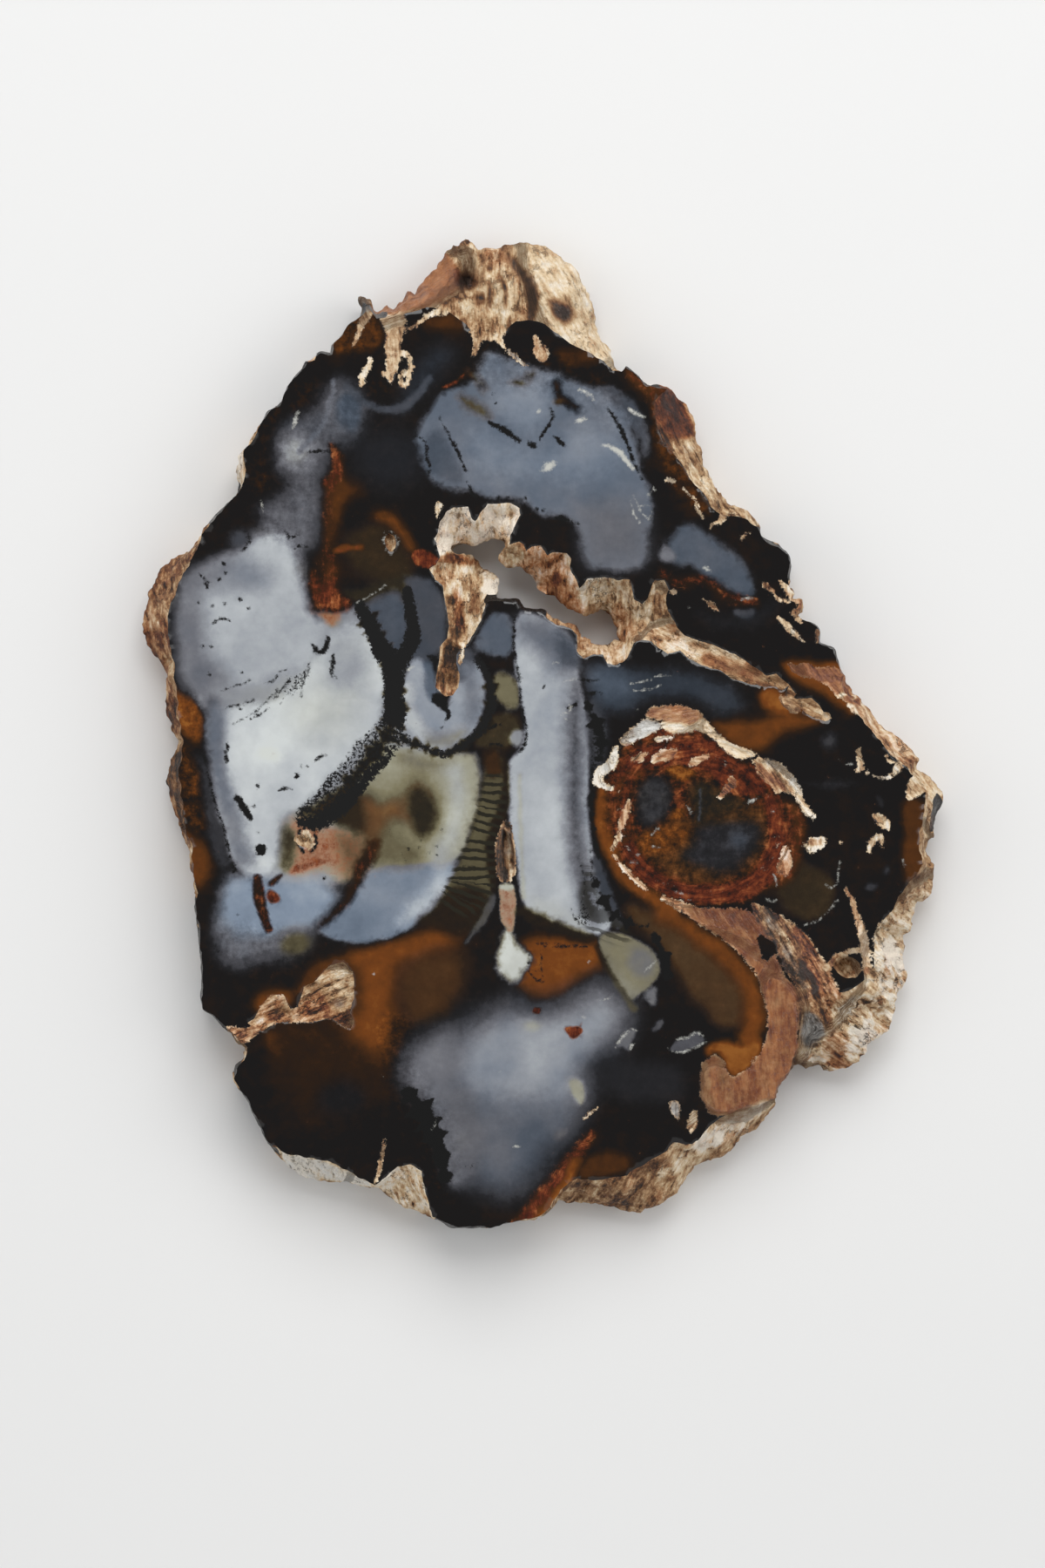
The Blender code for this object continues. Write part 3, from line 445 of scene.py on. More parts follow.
# Milky agate
MILKY_STONE = """
ground of left half: milk 0.95 0.2; 1.6; -51.8,10 -50,5 -47.5,2 -48,-3 -46.6,-12 -44.6,-19 -40,-21.5
  -34,-22.5 -28,-21 -20,-21 -13,-20 -11.2,-15 -9.6,-10 -9,-4 -11,-3 -17,-3 -18.6,0 -19.8,4 -20,8 -20.6,12
  -23.5,16 -27,18.5 -30,17.5 -34,14 -40,12 -47,11
ground of blue wedges: milk 0.5 -0.4; 1.6; -27,18 -23,21.5 -17.5,23 -15,21 -13.6,17 -14.2,12 -17,9.6 -20.5,9
  -23,13
smoke in upper left: milk 0.2 -0.5; 6.8; -28,43 -20,45 -16,41 -17,35 -24,34 -28,38
upper left haze: milk 0.55 -0.2; 4.4; -37.5,44.5 -33.5,46 -31,50.5 -28,51.3 -26,48.5 -25,45.5 -26.5,43
  -29,41.3 -30.5,40 -30.8,37 -31.5,34 -32.5,30 -34,26 -37,28.5 -40,30 -41.5,32 -38,34 -36,36 -38.3,38
  -38.8,41
pale heart of haze: milk 0.95 0.3; 4.1; -37.5,42 -35,43 -33,41.5 -34,38.5 -37,38.5 -38,40
blue heart of haze: milk 0.56 -0.8; 1.6; -30,47 -28,49 -25.6,46.8 -26.8,43.2 -29,43.2
lower haze: milk 0.62 -0.1; 5.1; -39.5,31 -36,34 -33.5,33.5 -32.5,30 -33.5,26.5 -36.5,28.5
haze between arcs: milk 0.27 -0.7; 5.1; -21,45.5 -18,47.5 -15.5,50.5 -12,54 -14,57 -18,54.5 -20.5,50
arc: milk 0.5 -0.4; 0.9 0.5 0.5 0.7 0.4; -28.2,49.7 -26,47.5 -23,46.3 -20.3,46.6 -18,48.3 -16.3,51
thin arc: milk 0.7 -0.3; 0.7 0.35; -35,40.5 -32.5,43 -31,45.5 -30.3,48.5 -30.2,50.5
upper lobe: milk 0.74 -0.6; 1.3; -18.6,42.5 -16.8,45.5 -15.5,48.3 -13,49.7 -10.4,50 -9.6,52.5 -8.2,54.7
  -5,54.3 -2.5,52.8 2,51.4 6,50 10,48.6 12,46 13,43 13.8,39 14.8,36 15.6,32.5 15.2,27.5 15,24 12,22.8 9,23.4
  6,23.6 5.4,27 5,29.7 3.5,30.8 1,31.3 -1,31.8 -3.5,33.3 -7,33.6 -9.8,34.2 -10.5,35.2 -13,34.6 -16,35.6
  -17,38 -17.5,40
outer strip of lobe: milk 0.5 -0.5; 1.2; 7,50 10.5,49.5 13.5,47.6 15,44.5 15.6,40.5 14.6,38.8 13.4,42.5
  11.5,45.8 9.5,47.5
bright upper lobe: milk 0.88 -0.6; 4.2; -7,49.5 -3,50 0.5,48.8 0.8,46 -1,43 -4,43.5 -6.8,46
bright middle of lobe: milk 0.86 -0.6; 5.1; -11.5,44 -8,43 -3,41.3 2,41.5 6,44 9,43 12,39.8 10.5,37 5,36.2
  -2,36 -8,37 -10.5,40
lobe's lilac foot: milk 0.68 -0.1; 6.8; 5.5,33 14,33 15.3,28 14.8,24.3 9,23.8 6,24.3 5.8,29
lobe's dim left side: milk 0.55 -0.7; 1.6; -17.5,41.5 -15,44 -13.5,41 -11.7,37.5 -11,35.3 -15.5,35.8
  -16.8,38.5
brown fleck in lobe: smoke 0.42 0.5; 1.5 0.3 0.7 0.7 0.3; -12.2,48 -10.3,47 -9,46 -8,45.2
brown fleck above it: smoke 0.25 0.4; 1.3 0.6 0.5 0.3; -10.3,52 -9.3,50.6 -8.6,49.2
brown fleck at its top: smoke 0.3 0.35; 1.1 0.3 0.45 0.25; -4.4,50.4 -3,50.4 -1.6,51.6
dark cleft: amber 0.15; 1.2 0.7 0.55 0.6 0.5; 1.8,50 2,48.3 3.6,47.3 5,46.3
brown in cleft: smoke 0.3 0.5; 0.6 0.8 0.5; 2.3,47.6
left lobe: milk 1.12 -0.05; 3.1; -52,19.5 -50.3,23 -46.5,25.3 -43.5,26.5 -41.5,28.8 -38.5,29.3 -36,28.5
  -34.7,25 -34.2,20 -32.3,17 -30,15 -33,10 -35,9 -38,8.8 -39,7.5 -42,7.3 -46,7.5 -49.5,6.8 -52.3,8
left lobe's dim top: milk 0.72 -0.2; 4.1; -51,21 -49,24 -45.5,25.7 -43.5,25 -44.5,22 -48,20.5
left lobe's dim foot: milk 0.8 0; 4.4; -52.5,12 -49.5,11.5 -45,8.8 -46,6.5 -50,5.5 -52.5,7.5
left lobe's dim left side: milk 0.72 -0.25; 5 1.6 2.2 2.2 1.6; -50.5,22 -50.8,17 -50.3,12 -49.5,8
left lobe's dim shoulder: milk 0.86 -0.35; 4.5 3.2 2.4 20; -43,22.6
smoke over left lobe: milk 0.42 -0.5; 2 1.6 1.3 30; -43.6,28
left pale: milk 1.28 0.2; 1.2; -47.5,4 -45,3.3 -42,4.8 -39.5,4.5 -37,6 -34,9 -31,12 -29.5,15 -27,16.7
  -25.2,14.5 -23.3,10.5 -22.8,5 -24,1 -27,-1.5 -30,-6 -33,-9.5 -37,-11.5 -38.3,-15 -38.6,-20 -42,-21
  -44.5,-18.5 -46.3,-12 -47.8,-6 -48.3,-1
dim corner of left pale: milk 0.5 -0.3; 2.4 1.1; -47.4,4 -47.2,0 -46.8,-5
blue edge of left pale: milk 0.78 -0.4; 2.5 1.2 1.2 1.4 1.6; -46.8,3 -47,-2 -46.5,-7 -45,-12 -43,-18
creamy middle of left pale: milk 1.25 0.6; 8.5; -38,5 -33,7 -28,13 -25.5,10 -25,4 -28,-1 -34,-2
dim top of left pale: milk 1.06 0.15; 4.5 3 4.4; -28.2,10.6
warm spot: milk 1.38 0.7; 1.2 1.5 1.1; -39.3,-3.4
dark glass, left edge: milk 0.3 -0.1; 1.4; -51.8,-3 -49.2,-2.5 -48,-6.5 -46.9,-11 -45.5,-15 -44.8,-19.3
  -46.7,-20 -48.8,-14.5 -50.6,-9
brown strip at left edge: amber 0.32 stir 0.8; 1.6; -53.5,-2 -50.4,-2 -49,-8 -48,-14 -50.5,-14 -52.4,-9
lower left blue: milk 1 -0.9; 3.4; -46.3,-21 -44,-20 -38,-20.8 -33,-20.3 -29.3,-22.2 -30,-25 -32.7,-28
  -37,-29 -40.5,-30.6 -45,-30.8 -47.3,-27
lower left smoke: milk 0.7 -0.05; 5.1; -47.5,-27 -41,-29.5 -36,-28.5 -33,-28.5 -34.5,-31.5 -40,-33 -46,-34
olive under it: smoke 0.42 0.15; 3.1; -37.5,-29 -34.5,-28 -33,-30 -35,-32 -38,-31.5
crescent: milk 0.85 -0.85; 1; -33.3,-28.2 -30.5,-26.6 -28,-23.8 -25.6,-20.5 -23,-19.2 -19,-18.3 -13.4,-18.5
  -12.9,-19.8 -14.4,-23.6 -17,-26.6 -20,-28.6 -24,-30 -29,-30.2
crescent's bright rim: milk 1.2 -0.4; 3.2 1.3 1.2 0.3; -13.6,-20 -15.3,-23 -18.3,-25.5 -20.5,-27
cream round oval: milk 0.94 0.85; 1.6; -26.5,-4.5 -24,-2 -20,-1.7 -17,-3.2 -12.5,-3.4 -9.6,-3 -8.8,-6
  -9.4,-10 -10.8,-14 -13,-19 -17,-18.4 -22,-18.8 -25,-18 -25.5,-14.5 -26.5,-10
yellow in cream: smoke 0.82 0.1; 5.1; -24.5,-5.5 -21,-5 -17.5,-5.6 -15.5,-8 -15,-12 -17,-16 -22,-16 -26,-13
brown round oval's foot: smoke 0.46 0.85; 3.6; -27.5,-9 -24.5,-8 -22.8,-11 -21.4,-14.5 -21.6,-17.5 -24,-19
  -27,-18 -28,-14
brown below oval: smoke 0.56 0.55; 3; -23.5,-13.5 -20.5,-15 -17,-16.6 -17.3,-18.8 -21,-19.4 -24.5,-18.6
grey in cream: milk 0.86 0.6; 3 1.6 2.2; -14.6,-14.6
cream's dim top: milk 0.7 0.7; 2.4 0.7 1 0.6; -20.5,-3.4 -17,-4.4 -13.4,-4.6
pale arm of cream: milk 1.08 0.5; 2.4 1.2 1.2 1.1; -12.8,-5.5 -11.8,-10 -13.5,-14.5 -14.8,-18
halo of oval: smoke 0.6 1; 3.4 3.2 4.6; -18,-10.6
halo's left tail: smoke 0.48 1; 3.4; -21,-8.5 -20,-12.5 -22.5,-12.6 -25,-11.6 -23,-10
oval: smoke 0.22 0.05; 2; -19.7,-8.3 -18,-7.4 -16.3,-8.2 -15.2,-10.5 -15.4,-13 -17,-15.2 -18.6,-14.3
  -19.7,-11.5
blue wedge: milk 0.55 -0.6; 1.2; -25.6,19 -23,20.6 -20.6,21.2 -20,18 -19.6,15 -20.4,12.6 -21.3,11.8
  -22.6,13.5 -24.2,16.8
ring's left arm: milk 0.5 -0.4; 1.3; -19.8,22.5 -17.5,22.5 -15.3,20.5 -14,17.5 -14.3,13.8 -15.2,11.5
  -18,11.3 -18.8,13 -18.3,16 -19,19.5
ring: milk 1 -0.35; 0.9; -18.6,11.2 -20,8.4 -20.7,5.3 -19.9,1.2 -18,-1.6 -15,-3 -12,-1.7 -9.6,0.4 -8.3,4
  -8.3,8 -9.6,10.3 -12,12 -13,10 -12.9,6.5 -14,3 -15.6,4.5 -15.7,7.5 -17,10.3
ring's dim inner side: milk 0.62 -0.85; 1; -15.8,10.4 -14.9,6 -15.6,4 -17,5.5 -17,8.5 -17.6,10.4
ring's violet shoulder: milk 0.5 -0.3; 1.6; -12.6,12 -10,12.5 -9.5,10 -10.3,8 -12,6.5 -12.6,8.5
ring's cream left rim: milk 1.2 0.3; 1.6 0.8 1 0.9; -19.3,6.5 -19.4,3 -17.8,0 -15.5,-1.7
ring's warm foot: milk 0.82 0.5; 1.8 0.8 1.1 0.6; -16.6,-1.2 -13.4,-1.3 -11.2,0
ring's dim right side: milk 0.8 -0.35; 1.8 0.9 1.2 0.8; -10.8,9 -9.8,5.4 -10.4,2
arch: milk 0.64 -0.6; 1; -10.3,12.2 -9.2,14.8 -7.6,17.4 -5,17.6 -4.2,14 -4.3,11.2 -7,10.8
black over arch: amber 0; 0.9 0.9 0.8 0.4 0.3; -8.3,18.3 -6,18.2 -3.2,17.8 -0.5,17.2
olive pocket: milk 0.66 1; 1.1; -7,8.8 -4.6,8.7 -3.6,6.5 -3.4,3.6 -5.4,3 -7,4.3 -7.2,6.6
olive under pocket: smoke 0.3 0.3; 1.2; -8.5,1.5 -6.5,3 -3.3,2.5 -2.9,0.3 -5,-2.4 -8,-2.4 -10,-1.6
pale spot: milk 0.9 0.1; 0.8; -4.8,0.4 -3,0.6 -2.8,-1.2 -3.8,-2.3 -4.9,-1.2
middle column: milk 1.14 -0.1; 0.8; -4.2,17.2 -2,17.2 0,16.6 3,14.8 4.8,12.4 5,8 6.2,4 6.7,0 6.6,-5 6.3,-10
  6.8,-16 8.2,-21 9.6,-25 10,-28.5 6.5,-29.3 2,-27.6 -2.6,-25.2 -3.5,-22 -3.9,-18 -5,-12 -5.1,-8 -5.3,-4
  -3,-2.2 -2.5,1 -3.2,5 -4.1,9 -4.1,12
column's dim head: milk 0.66 -0.5; 5.1; -4,17 0.5,16.6 4,14 5,11 5,8.5 2.5,8 0.5,10.5 -2.5,13 -4,14.5
column's blue shoulder: milk 0.5 -0.6; 1.6; 1.6,15.6 5,12.5 5.2,9 3,9.8 2,12.3
column's right side: milk 0.25 -0.2; 4.4; 5,7 5,-2 5,-10 5.4,-17 6.8,-22 8.3,-26 7,-28 5.2,-24 3.8,-14 3.6,0
  4,7
grey beyond column: milk 0.42 -0.1; 2.2; 6.4,5 8.6,4.5 9.4,0 8.2,-4.5 6.8,-6 6.4,-2
column's foot: milk 1.12 0.4; 4.1; -2.5,-25 2,-27.5 7,-29 6.5,-26.5 2,-24.5 -2,-22.5
peach line: milk 1.08 0.67; 0.8 0.35; -3.4,-6 -3.3,-12 -3.0,-20 -2.8,-23.5
grey band beside column: milk 0.42 -0.4; 1 0.7 0.9 0.8; 7.6,-18.5 8.6,-21.5 9.6,-24.5 10.7,-27.3
dark foot of column: smoke 0.12 0.1; 1.2 0.8 1 0.6; -3.4,-25.4 0,-27.4 4,-29 7,-29.8
wedge: milk 0.73 0.75; 0.7; 7.5,-28.8 11,-28.5 14.5,-30 16.3,-31.8 17.1,-34.5 15.2,-36.6 14.3,-37.2
  12.8,-38.4 11.8,-37.8 9.8,-35 8.7,-32.5
wedge's green heart: milk 0.72 0.35; 1.6 1.7 2.1 20; 14,-33
wedge's tip: milk 0.7 0.2; 0.8; 14.5,-37 16.5,-36 16.3,-38.5 15.8,-39.6 14.6,-38.4
dark line by wedge: smoke 0.12 0.2; 0.8 0.3 0.4 0.5; 7.6,-30.6 9.2,-34 11.3,-37.2 13,-39.6
bottom lobe: milk 0.97 -0.25; 9; -15,-47.3 -12,-42.8 -8,-39.8 -4,-38.6 0,-39.6 4,-38.4 7.5,-36.2 10,-37
  12.4,-39.8 12,-42.5 9.5,-45.5 6.6,-48.5 6,-53 2.5,-57 -3,-58 -9,-57 -13.5,-53.5
lobe's foot: milk 0.62 -0.5; 8; -14.5,-50 -8,-53 2,-52.5 4,-56 1,-61.5 -2,-65 -6,-67 -10.5,-65.5 -12.8,-61
lobe's left edge: milk 0.6 -0.2; 3; -17.5,-48 -12,-49 -9,-56 -9,-62 -11.5,-66 -14.2,-64.5 -15.3,-60
  -16.5,-55
lobe's pink patch: milk 0.95 0.5; 1.6 1.6 1; -1.5,-42
lobe's left wing: milk 0.72 -0.1; 6; -20.5,-46.5 -17,-43 -12,-42 -11,-52 -16,-54 -20,-51
lobe's cream flake: milk 0.95 0.8; 1; 3,-49.5 5.5,-49.5 6,-52 5.4,-53.8 4.4,-52.3
pale spot on rust: milk 0.6 0.2; 0.7 1 0.6 40; 2.6,-57.6
upper right patch: milk 0.56 -0.8; 1.5; 17.6,26 19,29.8 21.5,30.2 24,28.3 27.3,26.3 29.8,23 30.6,20 29,18.9
  27,19.4 25,21.4 23.4,22.4 21,24 18.2,24.3
its pale corner: milk 0.75 0; 1; 16.4,25 17,27.3 18.4,26.6 19.3,25 17.6,24.3
lilac spot: milk 0.62 0.1; 0.8; 27,17.6 28.8,17.8 30.4,18.4 30.3,16.8 29.2,16.2 27.6,16.8
haze in dark: milk 0.2 -0.7; 5.1; 21,18 28,16 34,20 33,17 30,14.5 24,15
slate band: milk 0.34 -0.75; 3.7; 5.5,10.6 11,9.6 17,9.8 23,9.2 28,6.5 29.5,3.5 25,2.6 21,4.6 16,5.2
  12.5,2.6 9,2.6 6.6,5
slate band's bright start: milk 0.58 -0.9; 3.7; 6.5,9.4 10.5,9.2 13.5,7 12.5,4.5 9,4.4 7,6.5
grey smudge: milk 0.36 0.1; 1.6 1.2 1.4; 41,-1.2
grey smudge below: milk 0.26 0.1; 1.4 2.6 0.5; 41.6,-7.4
grey fleck: milk 0.34 -0.1; 0.6 0.9 0.6 20; 47.1,-22
grey fleck above: milk 0.28 -0.1; 0.6 0.5 0.8 -20; 49.2,-19.8
grey fleck by tail: milk 0.26 0.3; 0.6 0.5 0.8 20; 48.3,-9.8
haze under flakes: milk 0.22 -0.1; 4; 7,-46 12,-46.5 20,-47 21,-52 16,-54 8,-52
grey cloud, bottom right: milk 0.55 0.3; 0.7; 15.3,-42.5 17,-40.5 17.3,-41.6 16,-43
"""

# The comb, and the dark lines' dust
COMB_AND_DUST = """
comb's ground: smoke 0.5 0.3; 1; -8.5,-4 -8.7,-8 -9.4,-11 -10.3,-14 -11.4,-17 -12.9,-20 -14.2,-23 -12,-26
  -9.5,-26 -7.4,-23.3 -7.1,-20 -7.3,-16 -6.6,-13 -5.4,-11.5 -5.3,-7 -5.6,-3
comb's brown head: smoke 0.16 0.4; 1.2; -8.5,-3 -5.8,-2.6 -5.6,-6.4 -8.2,-6.8
comb: comb 1; 0.8; -8.6,-5.5 -9.2,-9 -9.9,-12 -11.2,-15.3 -12.6,-18.3 -13.6,-21 -15.2,-24 -12,-26.5 -9,-26
  -7,-22.6 -6.9,-19 -6.9,-15 -6,-12.5 -5.3,-11 -5.4,-6
comb's dark side: smoke 0.1 0.1; 1 0.3 0.5 0.8 0.7 0.4; -5.5,-2.6 -5.4,-7 -5.7,-11 -7.4,-14.5 -7.6,-19.5
  -7,-22.5
comb's foot: smoke 0.14 0.2; 2; -15.8,-24.6 -13.5,-21.8 -8,-22.4 -8.3,-26 -11,-30 -16,-28.3 -18.5,-27.5
lines beside comb: comb 0.7; 1.2; 6.5,-19 8,-22 10,-26 13.5,-29.5 10.5,-30.5 6,-29 4.5,-24 5.5,-19
brush band: milk 0.1 1; 1 0.4 0.7 0.8 0.8 0.8 0.8 1 1.1 bristles 2 0.45; -26.3,18 -24.6,15.2 -23,12.2
  -21.6,9.5 -21.3,6 -21,3 -22.2,0 -24.3,-2.9 -26.1,-5 -27.7,-7 -29.1,-9 -31,-11 -33.2,-12
brush under ring: milk 0.12 1; 0.7 0.2 0.3 0.5 0.5 bristles 1.3 0.5; -20.5,-0.6 -17.5,-1.8 -15,-3.2
  -12.6,-2.6 -10,-0.9 -8,1.6 -7.3,5 -7.8,8.2
dust of brush band: soot 1; 2.4 1.1 1.5 1.7 1.9 2.4 2.8 2.8 2.4; -26.3,18 -24.6,15.2 -23,12.2 -21.6,9.5
  -21.3,6 -21,3 -22.2,0 -24.3,-2.9 -26.1,-5 -27.7,-7 -29.1,-9 -31,-11 -33.2,-12
dust beyond it: soot 0.62; 2.2; -27.5,-1 -24,1.5 -21,2 -18.5,-0.5 -20.5,-2 -23,-3.5 -28,-9 -33,-12.8 -36,-12
  -31,-8
dust of second band: soot 0.95; 1.6 0.9 1 1.2 1.3 1.2; -19.6,20.3 -19.2,17.5 -18.4,15 -18.9,12.4 -20.2,10.4
olive between them: smoke 0.24 0.1; 1.4; -30,21 -26.5,20.5 -21,23 -19.3,22 -20,18 -20.6,20.9 -25.5,18.6
  -27,18.3
dust under ring: soot 0.75; 1.2 0.6 0.6 0.8 0.8 1 0.9 0.8 0.8; -20.5,-0.6 -17.5,-1.8 -15,-3.2 -12.6,-2.6
  -10,-0.9 -8,1.6 -7.3,5 -7.8,8.2 -9.3,10.2
dust by column: soot 0.6; 1.4; 6,4 8,3 9.5,-1 8.2,-6 7.4,-12 8,-18 7,-18 6.3,-12 6.6,-4
dust at column's foot: soot 0.62; 1.6; 4.5,-23.5 6.5,-24 7.5,-26.5 6.5,-29 4.5,-27.5
dust over left pale: soot 0.55; 2; -38.5,7 -36.5,9 -34,9.6 -32.5,8.5 -34.5,5.8 -37,5
dust in bottom lobe: soot 0.5; 1.6 1.6 1.1; -10.2,-62.4
"""

# Rust
RUST_STAINS = """
rust, upper left: amber 0.5 rust 0.62; 1.4 0.4 0.8 0.7 0.8; -30.5,41.3 -29.6,39.5 -29.2,37.5 -30.5,36
rust, left: amber 0.4 rust 0.44; 2.4 0.7 0.6 0.6 1 1.3 0.7; -30.2,35.5 -31.6,32 -30.6,28.5 -31.4,25.5
  -30.4,22.5 -31.6,20 -32.6,18
rust, left foot: amber 0.45 rust 0.66; 1.8; -33.8,23.5 -32.8,23 -31.5,20.5 -30,22.5 -29.6,20 -27.7,18.8
  -28,17.9 -31,17.6 -33.3,19.5
peach under rust: milk 0.8 1 rust 0.42; 1.2; -32.3,17.6 -30.5,17.3 -29.2,17.2 -29.8,15.3 -31,15.4
rust flecks: amber 0.8 rust 0.5; 0.7 0.4 0.6 0.3 0.4; -29.8,26.2 -28.6,26.6 -27.2,26.5 -26.2,26.6
rust by hole: amber 0.55 rust 0.95; 0.9; -18.8,26.3 -17,26.3 -15,25.3 -15.2,24 -17.4,23.8 -18.9,24.6
orange patch: milk 0.86 1 rust 0.43; 4.5; -36.8,-12.5 -34.5,-11.6 -31.5,-13.4 -28,-14.2 -25.8,-16.5
  -26.4,-19.5 -29,-21 -31,-19.5 -36,-20.4 -37,-17
brown right of patch: smoke 0.5 0.5 rust 0.3; 3; -30,-14 -27,-14.4 -25.4,-17 -26,-20 -28.4,-20.6 -29.8,-17.5
pit in patch: crust 0.42 -0.3; 0.4 0.8 1.3 20; -33.8,-15.4
red in orange patch: rust 0.62; 1 0.5 0.6 0.3; -36,-19.6 -33.4,-19 -31.8,-18.4
olive left of it: smoke 0.34 0.3; 1.8; -37.7,-13.6 -36.2,-13.2 -35.6,-16 -36.5,-19.5 -37.6,-19.5 -37.9,-16.5
dark brown above it: smoke 0.25 0.3; 1.8; -33.5,-11 -30,-8.5 -26.6,-7 -25.6,-10 -25.4,-14.5 -27.5,-13.8
  -30.5,-12.6
divider: amber 0.25 rust 0.3; 1.5 0.9 0.9 0.5 0.45 0.25; -24.4,-16.5 -26.2,-19.6 -27.6,-22.3 -29.5,-25.2
  -32.3,-27.7
brown slit: amber 0.2 rust 0.35; 0.5 0.6 0.8 0.7 0.5; -41,-20.8 -40.9,-23.5 -40.2,-26 -39.4,-28.2
rust by slit: amber 0.4 rust 0.7; 0.7; -39.8,-22.3 -38,-23.2 -37.8,-24.2 -39.6,-24.4
brown over slit: amber 0.35 rust 0.35; 0.6; -39.8,-21.7 -38.6,-20.6 -37.2,-20 -37.8,-20.9 -39,-22.2
red band, upper right: amber 0.25 rust 0.5; 1.5 0.6 0.7 0.5 0.6 0.6 0.8; 17,22.6 20,21.4 22.5,22.2 24.6,21.8
  26,19.8 28,18.6 30.3,18.8
rust spot, bottom lobe: amber 0.2 rust 1; 0.5; 3,-42.2 4.2,-42.4 5.4,-42 5.6,-43 4.4,-44 3.7,-43.6
small rust spot: amber 0.2 rust 0.9; 0.4 0.55 0.45; -1,-39.8
red streak: amber 0.4 rust 0.7; 0.5 0.2 0.3 0.15; -14.5,49.6 -13,50.2 -11.4,51.4
"""

